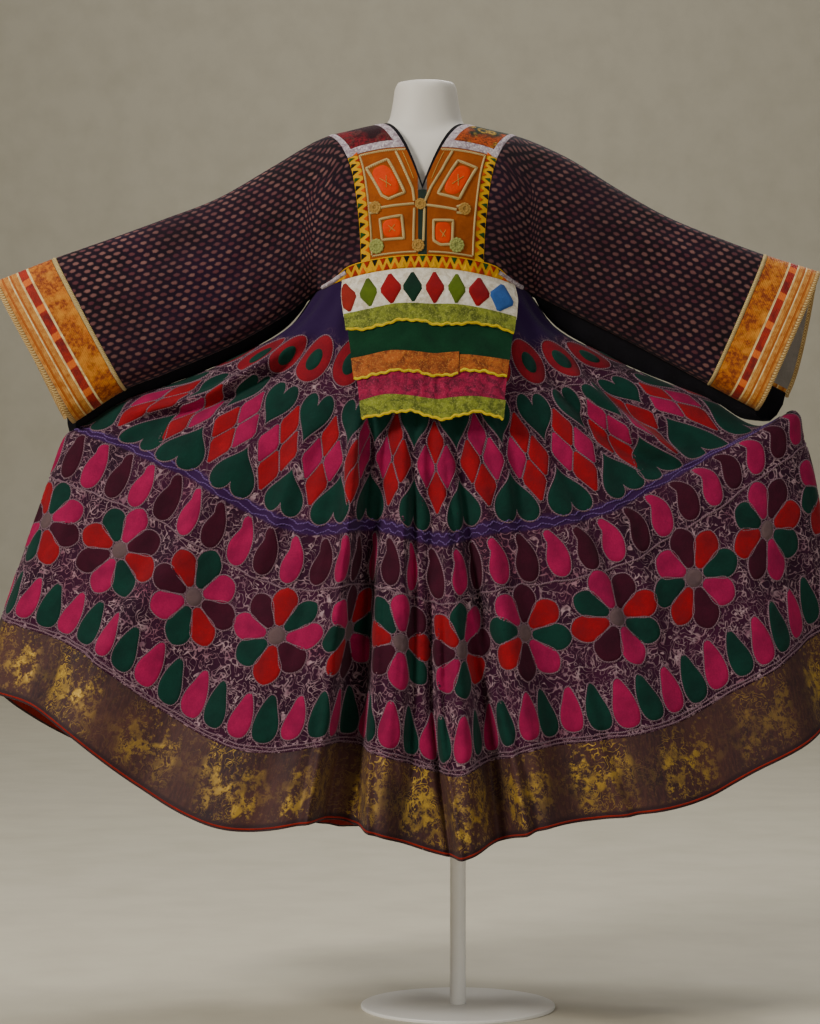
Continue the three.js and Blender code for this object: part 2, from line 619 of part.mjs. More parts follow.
function buildCuff(side) {
  const surface = (station, row) => teePoint(side, station, row);
  const band = (name, from, to, count, thick, colour) =>
    add(
      name + "_" + side.name,
      wallOn(
        surface,
        teeInside(side),
        grid(sleeveRows, count, (row, share) => [mix(from, to, share), row]),
        thick,
        -cloth,
      ),
      colour,
    );
  band("cuff_piping", cuffSeam - 0.0165, cuffSeam - 0.001, 1, edgeWall, colours.cream);
  band("cuff", cuffSeam + 0.0005, cuffEdge, 2, bandWall, colours.cuff);
  band("cuff_edge", cuffEdge + 0.001, cuffEdge + 0.018, 1, edgeWall, colours.cream);
  const inside = grid(sleeveBack.slice(0, -2), 2, (row, share) => [
    mix(cuffSeam + 0.0005, cuffEdge, share),
    row,
  ]);
  add("cuff_facing_" + side.name, wallOn(surface, teeInside(side), inside, 1, -cloth - seam - 1), colours.lining);
}

function buildBib(side) {
  const sign = side.sign;
  const rows = frontRows.filter((row) => row >= trimRow && row <= bibTopRow);
  const piece = (name, inner, outer, count, colour, thick = bandWall) => {
    const places = grid(rows, count, (row, share) => [sign * mix(inner(row), outer(row), share), row + seamRow(row)]);
    add(name + "_" + side.name, wallOn(bodicePoint, bodiceInside, places, thick, -cloth), colour);
  };
  piece("bib", bibInner(side), (row) => sleeveEdge(row) - trimWide - seam, 5, colours.bib);
  piece("bib_trim", (row) => sleeveEdge(row) - trimWide, sleeveEdge, 1, colours.yellow);
}
// The lowest and highest rows of a piece step back from the seam.
const seamRow = (row) => (row === trimRow ? 0.0006 : row === bibTopRow ? -0.0006 : 0);

function buildPlacket() {
  const rows = frontRows.filter((row) => row >= trimRow && row < neckLow - 0.02);
  const top = neckLow - (bindingWide + 1) / 700;
  const places = grid([...rows, top], 1, (row, share) => [mix(-plackHalf, plackHalf, share), row + seamRow(row)]);
  add("placket", wallOn(bodicePoint, bodiceInside, places, bandWall, -cloth), colours.placket);
}

function buildWaistTrim() {
  const start = (sleeveEdge(trimRow) + seam) / bodiceSide;
  const outer = bodiceColumns.slice(0, -1).map((share) => bodiceSide * mix(start, 1, share));
  const half = [25, 50, 75, ...outer];
  const all = [...half.map((across) => -across).reverse(), 0, ...half];
  const places = [0, 1].map((high) => all.map((across) => [across, high ? trimFloor(Math.abs(across)) : 0.0004]));
  add("waist_trim", wallOn(bodicePoint, bodiceInside, places, bandWall, -cloth), colours.yellow);
}

// The binding runs from the point of the V over a shoulder and round the back of the neck to the other side.
const neckAngles = steps(8, 0, Math.PI / 2);
function buildBinding() {
  const edge = (wide) => {
    const low = neckLow - wide / 700;
    const oneSide = (side) => {
      const rows = [0.15, 0.3, 0.45, 0.6, 0.75, 0.88, 1].map((share) => mix(low, 0.5, share));
      const front = rows.map((row) => [side.sign * neckEdge(side, row, wide), row]);
      const back = neckAngles.slice(1).map((a) => {
        const row = 0.5 + (neckBack + wide / 500) * Math.sin(a);
        return [side.sign * neckEdge(side, row, wide), row];
      });
      return [...front, ...back];
    };
    return [[0, low], ...oneSide(right), ...oneSide(left).slice(0, -1).reverse()];
  };
  const places = [edge(0), edge(bindingWide)];
  add("neck_binding", wallOn(bodicePoint, bodiceInside, places, bandWall, -cloth, true), colours.black);
}

// The shoulder patch and the braid that frames it on three sides.
function buildShoulder(side, colour) {
  const sign = side.sign;
  const rows = bodiceRows.filter((row) => row >= patchRow && row <= patchBackRow);
  const neckSide = (row) => neckEdge(side, row, bindingWide + seam) + 0.4;
  const inner = (row) => neckSide(row) + braidWide + 3;
  const outer = (row) => sleeveEdge(row) - braidWide;
  const patch = grid(rows, 4, (row, share) => {
    const lift = row === patchRow ? 0.001 : 0;
    return [sign * mix(inner(row) + seam, outer(row) - seam, share), row + lift];
  });
  add("shoulder_patch_" + side.name, wallOn(bodicePoint, bodiceInside, patch, bandWall, -cloth), colour);
  const down = [...rows].reverse();
  const across = steps(4);
  const braidLow = bibTopRow + 0.0016;
  const outerPath = [
    ...down.map((row) => [neckSide(row), row]),
    ...across.map((t) => [mix(neckSide(braidLow), sleeveEdge(braidLow) - seam, t), braidLow]),
    ...rows.map((row) => [sleeveEdge(row) - seam, row]),
  ];
  const innerPath = [
    ...down.map((row) => [inner(row), row]),
    ...across.map((t) => [mix(inner(patchRow), outer(patchRow), t), patchRow - 0.0002]),
    ...rows.map((row) => [outer(row), row]),
  ];
  const strip = [outerPath, innerPath].map((path) => path.map(([a, row]) => [sign * a, row]));
  add("shoulder_braid_" + side.name, wallOn(bodicePoint, bodiceInside, strip, bandWall, -cloth), colours.braid);
}

function buildBack() {
  const wide = bindingWide + seam;
  const outer = [1, 0.93, 0.86];
  const top = sleeveEdge(patchBackRow) - seam;
  const oneSide = (side) => {
    const beside = outer.map((share) => [side.sign * share * top, patchBackRow + 0.001]);
    const under = neckAngles
      .filter((a) => Math.sin(a) * (neckBack + wide / 500) > patchBackRow - 0.5)
      .map((a) => {
        const row = 0.5 + (neckBack + wide / 500) * Math.sin(a) + 0.0008;
        return [side.sign * neckEdge(side, row - 0.0008, wide), row];
      });
    return [...beside, ...under];
  };
  const upper = [...oneSide(left), ...oneSide(right).slice(0, -1).reverse()];
  const rows = bodiceRows.filter((row) => row > patchBackRow);
  const places = [patchBackRow, ...rows].map((row) => {
    const down = (row - patchBackRow) / (1 - patchBackRow);
    const edge = sleeveEdge(row) - seam;
    return upper.map(([across, high], i) => {
      const even = mix(-1, 1, i / (upper.length - 1));
      return [edge * mix(across / top, even, smooth(down)), mix(high, 1, down)];
    });
  });
  add("bodice_back", wallOn(bodicePoint, bodiceInside, places, cloth, -cloth), colours.dotted);
}

function buildRosettes() {
  for (const r of rosettes) {
    const centre = bodicePoint(r.across, r.row);
    const normal = outward(bodicePoint, bodiceInside, r.across, r.row);
    const disc = new THREE.CylinderGeometry(r.radius * 0.8, r.radius, rosetteHigh, 14);
    const turn = new THREE.Quaternion().setFromUnitVectors(new THREE.Vector3(0, 1, 0), normal);
    const lift = bandWall - cloth + 0.6 + rosetteHigh / 2;
    disc.applyQuaternion(turn);
    const place = centre.addScaledVector(normal, lift);
    disc.translate(place.x, place.y, place.z);
    add(r.name, disc, r.colour);
  }
}

// The apron hangs from the front of the waist seam and lies over the skirt's folds.
function apronPoint(across, place) {
  const drop = apron.sideDrop * smooth(place / 0.2) * (1 - place) * across * across;
  const down = place + drop - apron.arch * place * place * (1 - across * across);
  const x = mix(apron.topMid, apron.lowMid, down) + across * mix(apron.topHalf, apron.lowHalf, down);
  const reach = mix(0.0004, apron.share, down);
  const half = mix(waist.half, x < 0 ? hem.left : hem.right, reach ** 1.1);
  const fore = Math.sqrt(1 - (x / half) ** 2);
  const push = apron.start + apron.clear * smooth(down / 0.15) + apron.flare * down;
  return skirtShape(x / half, fore, reach, true, push);
}
const apronInside = (across) => new THREE.Vector3(dressX + 10 + across * 100, 0, 1090);

function buildApron() {
  for (const band of apronBands) {
    const width = band.to - band.from;
    const columns = Math.max(6, Math.round(9 * width));
    const rows = steps(3);
    const places = grid(rows, columns, (down, share) => {
      const across = mix(band.from, band.to, share);
      const wave = (band.ruffle / 250) * Math.cos(7 * across + band.top * 20) * down;
      return [across, mix(band.top, band.low, down) + wave];
    });
    const lift = band.layer * layerStep;
    add(band.name, wallOn(apronPoint, apronInside, places, bandWall, lift), band.colour);
  }
}

const skirtInside = (round, down) => new THREE.Vector3(dressX, 0, mix(waist.sideUp, 400, down) - 60);

function buildSkirt() {
  const rows = [0.0006, 0.05, 0.13, 0.25, 0.36, 0.45, 0.5, 0.6, 0.73, borderTop - 0.0006];
  const perGore = skirtColumns / goreCount;
  const perBorder = skirtColumns / borderCount;
  const gapAt = (round, down) => {
    const step = 1e-4;
    return (seam * step) / skirtPoint(round - step, down).distanceTo(skirtPoint(round + step, down));
  };
  const panel = (rowValues, index, columns, thick, lift) => {
    const from = (index * columns) / skirtColumns;
    const to = ((index + 1) * columns) / skirtColumns;
    const places = grid(rowValues, columns, (down, share) => {
      const inset = share === 0 ? gapAt(from, down) : share === 1 ? -gapAt(to, down) : 0;
      return [mix(from, to, share) + inset, down];
    });
    return wallOn(skirtPoint, skirtInside, places, thick, lift);
  };
  for (let i = 0; i < goreCount; i += 1) {
    add("skirt_gore_" + (i + 1), panel(rows, i, perGore, cloth, -cloth), colours.skirt);
  }
  for (let i = 0; i < borderCount; i += 1) {
    add("hem_border_" + (i + 1), panel([borderTop, facingTop, 1], i, perBorder, bandWall, -cloth), colours.border);
  }
  const round = steps(skirtColumns).slice(0, skirtColumns);
  const places = [facingTop, 0.996].map((down) => round.map((turn) => [turn, down]));
  add("hem_facing", wallOn(skirtPoint, skirtInside, places, 1, -cloth - 1.7, true), colours.facing);
}

buildStand();
buildForm();
for (const side of [left, right]) {
  buildSleeve(side);
  buildUnderarm(side);
  buildCuff(side);
  buildBib(side);
}
buildShoulder(left, colours.patchLeft);
buildShoulder(right, colours.patchRight);
buildPlacket();
buildWaistTrim();
buildBinding();
buildBack();
buildRosettes();
buildApron();
buildSkirt();

export default group;
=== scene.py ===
"""A patchwork bridal dress on a limbless dress form with a pole stand: cloth, applique, cords and finishes.

The tables are in millimetres and hold the same surfaces as the solids. Objects are made in metres.
"""

import math
from functools import partialmethod

import bmesh
import bpy
import numpy as np
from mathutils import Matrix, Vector


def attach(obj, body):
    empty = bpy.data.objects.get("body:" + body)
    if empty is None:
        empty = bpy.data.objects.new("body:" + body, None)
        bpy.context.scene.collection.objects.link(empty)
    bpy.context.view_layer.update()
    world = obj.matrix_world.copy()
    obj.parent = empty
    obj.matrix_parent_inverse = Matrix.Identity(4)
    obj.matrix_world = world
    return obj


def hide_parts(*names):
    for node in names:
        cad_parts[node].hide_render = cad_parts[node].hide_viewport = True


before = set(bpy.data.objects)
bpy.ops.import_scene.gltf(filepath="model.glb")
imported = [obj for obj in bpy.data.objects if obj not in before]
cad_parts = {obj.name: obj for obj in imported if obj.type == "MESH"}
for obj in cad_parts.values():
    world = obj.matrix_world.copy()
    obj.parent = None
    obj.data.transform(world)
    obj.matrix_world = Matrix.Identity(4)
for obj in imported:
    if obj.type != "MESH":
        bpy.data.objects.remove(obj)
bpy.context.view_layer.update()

# Sizes, as in the solids.
SEAM, CLOTH, BAND, EDGE = 0.3, 1.6, 2.0, 3.0
DRESS_X, BODICE_SIDE = -59.0, 175.0
CUFF_SEAM, CUFF_EDGE = 2.0, 2.2
WAIST = {"half": 178, "front": 122, "back": 108, "up": 1176, "rise": 33}
HEM = {"left": 734, "right": 706, "front": 290, "back": 250}
BORDER_TOP, FACING_TOP = 0.865, 0.93
LEFT = {"name": "left", "sign": -1, "topReach": 1, "lowReach": 1, "top": "topUp", "low": "lowUp", "past": 18}
RIGHT = {"name": "right", "sign": 1, "topReach": 0.905, "lowReach": 0.943, "top": "topUpRight",
         "low": "lowUpRight", "past": 54}


def table(columns, rows):
    """Columns by name, as arrays."""
    return {key: np.array([row[i] for row in rows], float) for i, key in enumerate(columns.split())}


STATIONS = table("at topOut topUp topUpRight lowOut lowUp lowUpRight front back edge mid", [
    (0, 0, 1457, 1457, 0, 1209, 1209, 130, 110, 1, 6),
    (0.35, 61, 1455, 1455, 60, 1205, 1205, 127, 108, 0.94, 6),
    (0.7, 122, 1443, 1443, 120, 1194, 1194, 106, 95, 0.74, 5),
    (1, 175, 1428, 1430, 171, 1178.5, 1178.5, 68, 66, 0.277, 3),
    (1.2, 250, 1384, 1399, 225, 1140, 1155, 55, 54, 0.13, 0),
    (1.4, 336, 1334, 1350, 292, 1101, 1124, 49, 48, 0.11, -4),
    (1.6, 425, 1299, 1304, 358, 1071, 1093, 46, 45, 0.1, -8),
    (1.8, 517, 1265, 1269, 425, 1043, 1059, 43, 43, 0.1, -12),
    (2, 609, 1232, 1238, 492, 1016, 1025, 41, 42, 0.1, -15),
    (2.2, 696, 1197, 1213, 568, 967, 987, 42, 46, 0.11, -18),
    (2.25, 718, 1188, 1206, 587, 955, 977, 42, 47, 0.11, -19),
])
SLEEVE_START = table("at out", [
    (0, 100), (0.1, 103), (0.22, 112), (0.29, 121), (0.345, 131), (0.5, 160), (0.6, 138), (0.8, 122),
    (1, 118),
])
# How far each gusset hangs below its sleeve's edges; the black cloth reaches down to the skirt, partly the
# real underarm and partly a dark sheet standing in for the shadow in the gap between them.
GUSSET_HANG = table("at left right", [
    (1.05, 0, 0), (1.1, 10, 16), (1.2, 20.5, 34.5), (1.4, 23, 46), (1.6, 25, 52), (1.8, 25, 49), (2, 25, 43),
    (2.1, 27, 47), (2.2, 27, 31),
])
SIDE_FOLDS = table("at leftOut leftUp rightOut rightUp", [
    (0, 178, 1176, 178, 1176), (0.055, 214, 1124, 216, 1122), (0.15, 292, 1079, 290, 1081),
    (0.27, 394, 1034, 382, 1037), (0.38, 490, 1000, 474, 1002), (0.45, 550, 962, 552, 958),
    (0.5, 584, 943, 614, 984), (0.56, 606, 890, 628, 945), (0.64, 628, 826, 647, 874),
    (0.82, 680, 680, 679, 686), (1, 734, 534, 706, 492),
])
HEM_HEIGHTS = table("at front back", [
    (-1, 534, 534), (-0.94, 524, 494), (-0.79, 481, 424), (-0.62, 386, 366), (-0.475, 334, 326),
    (-0.365, 321, 300), (-0.2, 336, 274), (-0.1, 318, 268), (0.07, 282, 268), (0.15, 298, 266),
    (0.27, 326, 268), (0.4, 337, 282), (0.64, 368, 348), (0.78, 416, 394), (0.92, 468, 456), (1, 492, 492),
])
# The folds of each half: place, width and depth, then the shares of the length where one starts, is whole
# and has gone again.
FRONT_FOLDS = [
    (-0.8, 0.035, -12, 0.1, 0.35, 0.62), (-0.86, 0.05, 10, 0.5, 0.9, 9), (-0.76, 0.05, -14, 0.4, 1, 9),
    (-0.66, 0.05, 12, 0.4, 1, 9), (-0.56, 0.045, -14, 0.2, 0.9, 9), (-0.43, 0.05, 12, 0.2, 0.9, 9),
    (-0.335, 0.04, 18, 0.12, 0.8, 9), (-0.225, 0.048, -48, 0.1, 0.9, 9), (-0.11, 0.045, 22, 0.1, 0.8, 9),
    (0, 0.045, -12, 0.15, 0.9, 9), (0.13, 0.05, 30, 0.15, 1, 9), (0.22, 0.036, -32, 0.1, 0.9, 9),
    (0.3, 0.04, 16, 0.15, 0.9, 9), (0.4, 0.045, -24, 0.3, 1, 9), (0.51, 0.06, 14, 0.3, 1, 9),
    (0.62, 0.05, -12, 0.3, 1, 9), (0.73, 0.05, 12, 0.3, 1, 9), (0.765, 0.03, -18, 0.1, 0.3, 0.62),
    (0.84, 0.045, -12, 0.5, 1, 9),
]
BACK_FOLDS = [
    (-0.8, 0.06, -14, 0.3, 1, 9), (-0.64, 0.06, 14, 0.3, 1, 9), (-0.5, 0.05, -18, 0.2, 1, 9),
    (-0.36, 0.05, 20, 0.15, 0.9, 9), (-0.24, 0.045, -32, 0.1, 0.9, 9), (-0.1, 0.05, 24, 0.1, 0.9, 9),
    (0.03, 0.045, -26, 0.1, 0.9, 9), (0.16, 0.05, 24, 0.1, 0.9, 9), (0.29, 0.048, -36, 0.1, 0.9, 9),
    (0.42, 0.05, 18, 0.2, 1, 9), (0.57, 0.06, -16, 0.3, 1, 9), (0.72, 0.06, 14, 0.3, 1, 9),
    (0.86, 0.05, -10, 0.3, 1, 9),
]
SPREAD = (0.45, 1.1, -0.55)
APRON = {"topHalf": 139, "lowHalf": 113, "topMid": 10, "lowMid": 12, "share": 0.278, "start": 0.5,
         "clear": 10, "flare": 14, "sideDrop": 0.052, "arch": 0.055}
NECK_HALF, NECK_SHIFT, NECK_LOW, NECK_BACK = 70, 4, 0.184, 0.13
TRIM_ROW, BIB_TOP, PATCH_ROW, PATCH_BACK = 0.027, 0.295, 0.325, 0.56
BINDING, PLACK_HALF, TRIM_WIDE, BRAID_WIDE = 8, 7, 15, 10
# The gap beside a seam along a row, as a share of the rows.
ROW_GAP = 0.0006
LAYER = BAND + SEAM
# The camera in mm, the front view's middle in pixels, and the mm that a pixel spans at the depth of the pole.
CAMERA = (-79, -4600, 817)
VIEW_MIDDLE = (410, 512)
PIXEL = 1.65


# Surfaces.
def mix(a, b, t):
    """From a to b by a share."""
    return a + (b - a) * t


def smooth(t):
    """A soft step from 0 to 1."""
    c = np.clip(t, 0, 1)
    return c * c * (3 - 2 * c)


def along(rows, column, at):
    """A column of a table at any places between its rows, on one smooth curve."""
    ats, values = rows["at"], rows[column]
    last = len(ats) - 1
    place = np.clip(at, ats[0], ats[last])
    i = np.searchsorted(ats[1:last], place, side="left")
    before, after = np.maximum(i - 1, 0), np.minimum(i + 2, last)
    a, b = values[i], values[i + 1]
    span = ats[i + 1] - ats[i]
    slope_a = (b - values[before]) / (ats[i + 1] - ats[before]) * span
    slope_b = (values[after] - a) / (ats[after] - ats[i]) * span
    t = (place - ats[i]) / span
    t2, t3 = t * t, t**3
    leaving, arriving = (t3 - 2 * t2 + t) * slope_a, (t3 - t2) * slope_b
    return (2 * t3 - 3 * t2 + 1) * a + leaving + (3 * t2 - 2 * t3) * b + arriving


def stack(x, y, z):
    """Points from their three parts."""
    return np.stack(np.broadcast_arrays(x, y, z), -1).astype(float)


# Long soft creases that run out along each sleeve: the row where one lies, its width, depth, first and last
# station.
SLEEVE_CREASES = [
    (0.1, 0.03, -3.2, 1.1, 1.75), (0.17, 0.035, 3, 1.25, 1.95), (0.235, 0.03, -2.6, 0.95, 1.6),
    (0.3, 0.04, 2.6, 1.2, 1.85), (0.36, 0.028, -2.4, 1.4, 1.95), (0.43, 0.03, 1.8, 1.0, 1.5),
    (0.57, 0.03, -2.4, 1.1, 1.8), (0.64, 0.04, 2.8, 1.3, 1.95), (0.72, 0.035, -3, 1.0, 1.6),
    (0.8, 0.035, 2.6, 1.15, 1.85), (0.88, 0.03, -2.6, 1.35, 1.95),
]


def sleeve_crease(side, station, row):
    """How far the sleeve's creases push its surface out."""
    total = np.zeros(np.broadcast(station, row).shape)
    for at, wide, deep, start, end in SLEEVE_CREASES:
        centre = at + 0.035 * np.sin(3.1 * station + 9 * at) * side["sign"] + 0.02 * (station - 1.5)
        shown = smooth((station - start) / 0.25) * (1 - smooth((station - end + 0.25) / 0.25))
        total = total + deep * np.exp(-(((row - centre) / wide) ** 2)) * shown
    edge = smooth(row / 0.08) * smooth((1 - row) / 0.08) * smooth((0.14 + abs(row - 0.5)) / 0.3)
    return total * edge * smooth((1.97 - station) / 0.1) * smooth((station - 0.9) / 0.2)


def tee(side, station, row, creased=False):
    """Bodice and sleeve; station runs along the arm, row from the front edge, over the fold to the back."""
    station, row = np.broadcast_arrays(np.asarray(station, float), np.asarray(row, float))
    in_front = row < 0.5
    climb = np.where(in_front, 2 * row, 2 * (1 - row))

    def reach(out, share):
        return np.where(station > 1, BODICE_SIDE + (out - BODICE_SIDE) * share, out)

    top_out = reach(along(STATIONS, "topOut", station), side["topReach"])
    low_out = reach(along(STATIONS, "lowOut", station), side["lowReach"])
    ring = np.sqrt(np.maximum(0, 1 - (low_out / WAIST["half"]) ** 2))
    on_bodice = station <= 1
    waist_up = WAIST["up"] + WAIST["rise"] * ring * ring
    low_up = np.where(on_bodice, waist_up, along(STATIONS, side["low"], station))
    share = np.where(on_bodice, ring, along(STATIONS, "edge", station))
    edge = share * np.where(in_front, WAIST["front"], WAIST["back"])
    deep = np.where(in_front, along(STATIONS, "front", station), along(STATIONS, "back", station))
    sleeve = smooth((station - 0.55) / 0.8)
    turn = math.pi / 2 * climb
    body_deep = mix(edge, deep, smooth(climb / 0.3)) * np.maximum(0, np.cos(turn)) ** 0.55
    sleeve_deep = edge * (1 - climb) + deep * np.maximum(0, np.sin(2 * turn)) ** 0.8
    up = mix(np.sin(turn), (1 - np.cos(2 * turn)) / 2, sleeve)
    depth = mix(body_deep, sleeve_deep, sleeve)
    if creased:
        depth = depth + sleeve_crease(side, station, row)
    past = np.where(in_front, 0, side["past"] * smooth((station - 1.1) / 0.9) * smooth((1 - climb) / 0.8))
    out = mix(low_out, top_out, up) + past
    high = mix(low_up, along(STATIONS, side["top"], station), up) + 0.42 * past
    middle = along(STATIONS, "mid", station) * smooth(climb / 0.2)
    return stack(DRESS_X + side["sign"] * out, middle + np.where(in_front, -depth, depth), high)


def tee_inside(side, station, row):
    """The line inside the sleeve that tells which way is out."""
    out = (along(STATIONS, "lowOut", station) + along(STATIONS, "topOut", station)) / 2
    high = (along(STATIONS, "lowUp", station) + along(STATIONS, "topUp", station)) / 2
    return stack(DRESS_X + side["sign"] * out, along(STATIONS, "mid", station), high)


def bodice(across, row):
    """The same shape by its distance across the bodice, over the middle."""
    across, row = np.broadcast_arrays(np.asarray(across, float), np.asarray(row, float))
    station = abs(across) / BODICE_SIDE
    return np.where((across < 0)[..., None], tee(LEFT, station, row), tee(RIGHT, station, row))


def bodice_inside(across, row):
    return stack(DRESS_X + across, along(STATIONS, "mid", abs(np.asarray(across)) / BODICE_SIDE), 1320)


# Small creases between the main folds: place, width, depth in mm, start, length and lean, all uneven.
CREASE_DICE = np.random.default_rng(11)
SMALL = [
    (CREASE_DICE.uniform(0, 1), CREASE_DICE.uniform(0.0035, 0.008),
     CREASE_DICE.choice((-1, 1)) * CREASE_DICE.uniform(1.2, 3.4), CREASE_DICE.uniform(0, 0.55),
     CREASE_DICE.uniform(0.25, 0.6), CREASE_DICE.uniform(-0.012, 0.012))
    for _ in range(120)
]
# Laps, where one side of the skirt falls over the next: the line as turn and down, width and depth in mm,
# and which side lies on top: 1 the one before the line, -1 the one after it.
LAPS = [
    ([(0.168, 0.2), (0.1685, 0.285), (0.1755, 0.47), (0.181, 0.608), (0.1815, 0.8), (0.183, 1)], 15, 24, 1),
    ([(0.191, 0.42), (0.199, 0.6), (0.202, 0.783), (0.208, 1)], 15, 20, -1),
    ([(0.26, 0.5), (0.262, 0.7), (0.265, 0.81), (0.2735, 1)], 14, 17, -1),
    ([(0.3, 0.45), (0.308, 0.62), (0.316, 0.765), (0.322, 1)], 15, 16, 1),
    ([(0.291, 0.28), (0.293, 0.42), (0.292, 0.56)], 13, 11, -1),
    ([(0.348, 0.16), (0.352, 0.34), (0.345, 0.55)], 14, 10, 1),
    ([(0.392, 0.2), (0.397, 0.45), (0.392, 0.8)], 16, 9, -1),
    ([(0.13, 0.2), (0.127, 0.42), (0.12, 0.66)], 15, 9, 1),
    ([(0.088, 0.3), (0.084, 0.6), (0.078, 0.95)], 16, 8, -1),
    ([(0.232, 0.32), (0.235, 0.62), (0.237, 0.96)], 14, 9, 1),
    ([(0.36, 0.62), (0.364, 0.82), (0.366, 1)], 15, 9, 1),
    ([(0.09, 0.08), (0.0745, 0.192), (0.0665, 0.235), (0.0595, 0.29), (0.054, 0.342), (0.046, 0.385),
      (0.03, 0.45)], 12, 22, 1),
    ([(0.414, 0.14), (0.418, 0.238), (0.424, 0.332), (0.428, 0.378), (0.434, 0.43), (0.44, 0.53)],
     12, 22, -1),
    ([(0.585, 0.2), (0.59, 0.6), (0.6, 1)], 16, 12, 1),
    ([(0.665, 0.15), (0.66, 0.5), (0.668, 0.95)], 16, 14, -1),
    ([(0.735, 0.2), (0.742, 0.55), (0.735, 1)], 15, 16, 1),
    ([(0.812, 0.15), (0.808, 0.5), (0.815, 1)], 16, 13, -1),
    ([(0.88, 0.3), (0.886, 0.65), (0.892, 1)], 16, 10, 1),
]


def small_creases(turn, down):
    """How far the small creases and the laps push the skirt out."""
    total = np.zeros(np.broadcast(turn, down).shape)
    for at, wide, deep, start, length, lean in SMALL:
        off = (turn - at - lean * (down - start) + 0.5) % 1 - 0.5
        shown = smooth((down - start) / 0.12) * smooth((start + length - down) / 0.12)
        total = total + deep * np.exp(-((off / wide) ** 2)) * shown
    total = total * (0.5 + 0.5 * smooth((down - 0.2) / 0.2))
    whole = 950 + 3300 * down
    for line, wide, deep, top in LAPS:
        turns, downs = np.array(line).T
        centre = np.interp(down, downs, turns) + 0.0012 * np.sin(17 * down + 40 * turns[0])
        off = ((turn - centre + 0.5) % 1 - 0.5) * whole / wide * -top
        ends = 1 if downs[-1] > 0.98 else smooth((downs[-1] - down) / 0.14)
        shown = smooth((down - downs[0]) / 0.14) * ends
        total = total + deep * (np.exp(-((off - 0.95) ** 2)) - 0.8 * np.exp(-((off + 0.75) ** 2))) * shown
    return total


def skirt_shape(across, fore, down, in_front, fold):
    """The skirt by the sine and cosine of the angle from the front; fold is outwards."""
    towards = np.where(in_front, -1, 1)
    on_left = across < 0
    half = np.where(on_left, HEM["left"], HEM["right"])
    depth_top = np.where(in_front, WAIST["front"], WAIST["back"])
    depth_low = np.where(in_front, HEM["front"], HEM["back"])
    top_up = WAIST["up"] + WAIST["rise"] * fore * fore
    low_up = np.where(in_front, along(HEM_HEIGHTS, "front", across), along(HEM_HEIGHTS, "back", across))
    corner_up = along(HEM_HEIGHTS, "front", np.sign(across))
    flare = np.maximum(0, down) ** 1.1
    side = abs(across) ** 5
    out_fold = np.where(on_left, along(SIDE_FOLDS, "leftOut", down), along(SIDE_FOLDS, "rightOut", down))
    up_fold = np.where(on_left, along(SIDE_FOLDS, "leftUp", down), along(SIDE_FOLDS, "rightUp", down))
    wide = mix(WAIST["half"], half, flare)
    out_fold = out_fold - wide
    up_fold = up_fold - mix(WAIST["up"], corner_up, down)
    fx, fy = across / half, towards * fore / depth_low
    size = np.hypot(fx, fy)
    return stack(
        DRESS_X + across * wide + np.sign(across) * side * out_fold + fx / size * fold,
        towards * fore * mix(depth_top, depth_low, flare) + fy / size * fold,
        mix(top_up, low_up, down) + side * up_fold,
    )


def skirt(turn, down):
    """Once round from the left side over the front, and down from the waist to the hem, with its folds."""
    turn, down = np.broadcast_arrays(np.asarray(turn, float) % 1, np.asarray(down, float))
    in_front = turn < 0.5
    at = 4 * np.where(in_front, turn, turn - 0.5) - 1
    angle = math.pi / 2 * (SPREAD[0] * at + SPREAD[1] * at**3 + SPREAD[2] * at**5)
    across = np.where(in_front, np.sin(angle), -np.sin(angle))
    folds = np.zeros(at.shape)
    for mask, rows in ((in_front, FRONT_FOLDS), (~in_front, BACK_FOLDS)):
        for place, wide, deep, start, full, end in rows:
            shown = smooth((down - start) / (full - start)) * (1 - smooth((down - end + 0.2) / 0.2))
            folds += mask * deep * np.exp(-(((at - place) / wide) ** 2)) * shown
    soft = smooth((0.55 - abs(at)) / 0.55) * smooth((down - 0.05) / 0.5)
    gather = down / 0.06 * np.exp(1 - down / 0.06)
    folds += 7 * soft * np.cos(math.pi * 14 * at) + 3.2 * gather * np.cos(2 * math.pi * 28 * turn)
    return skirt_shape(across, np.cos(angle), down, in_front, folds + small_creases(turn, down))


def skirt_inside(turn, down):
    return stack(DRESS_X, 0, mix(WAIST["up"], 400, np.asarray(down) + 0 * np.asarray(turn)) - 60)


def apron(across, down):
    """The apron hangs from the front of the waist seam, over the skirt's folds."""
    across, place = np.broadcast_arrays(np.asarray(across, float), np.asarray(down, float))
    drop = APRON["sideDrop"] * smooth(place / 0.2) * (1 - place) * across * across
    down = place + drop - APRON["arch"] * place * place * (1 - across * across)
    x = mix(APRON["topMid"], APRON["lowMid"], down) + across * mix(APRON["topHalf"], APRON["lowHalf"], down)
    reach = mix(0.0004, APRON["share"], down)
    half = mix(WAIST["half"], np.where(x < 0, HEM["left"], HEM["right"]), np.maximum(0, reach) ** 1.1)
    push = APRON["start"] + APRON["clear"] * smooth(down / 0.15) + APRON["flare"] * down
    return skirt_shape(x / half, np.sqrt(1 - (x / half) ** 2), reach, np.full(x.shape, True), push)


def apron_inside(across, down):
    return stack(DRESS_X + 10 + np.asarray(across) * 100, 0, 1090)


def outward(surface, inside, a, b, step=1e-3):
    """The outward direction of a surface at its places; its sign is that of most of them."""
    along_a = surface(a + step, b) - surface(a - step, b)
    along_b = surface(a, b + step) - surface(a, b - step)
    normal = np.cross(along_a, along_b)
    normal /= np.linalg.norm(normal, axis=-1, keepdims=True) + 1e-12
    away = surface(a, b) - inside(a, b)
    return -normal if ((normal * away).sum(-1) < 0).mean() > 0.5 else normal


def lifted(surface, inside, a, b, *lifts):
    """Grids of points at distances outside a surface."""
    a, b = np.broadcast_arrays(np.asarray(a, float), np.asarray(b, float))
    points, normal = surface(a, b), outward(surface, inside, a, b)
    return [points + np.asarray(lift)[..., None] * normal for lift in lifts]


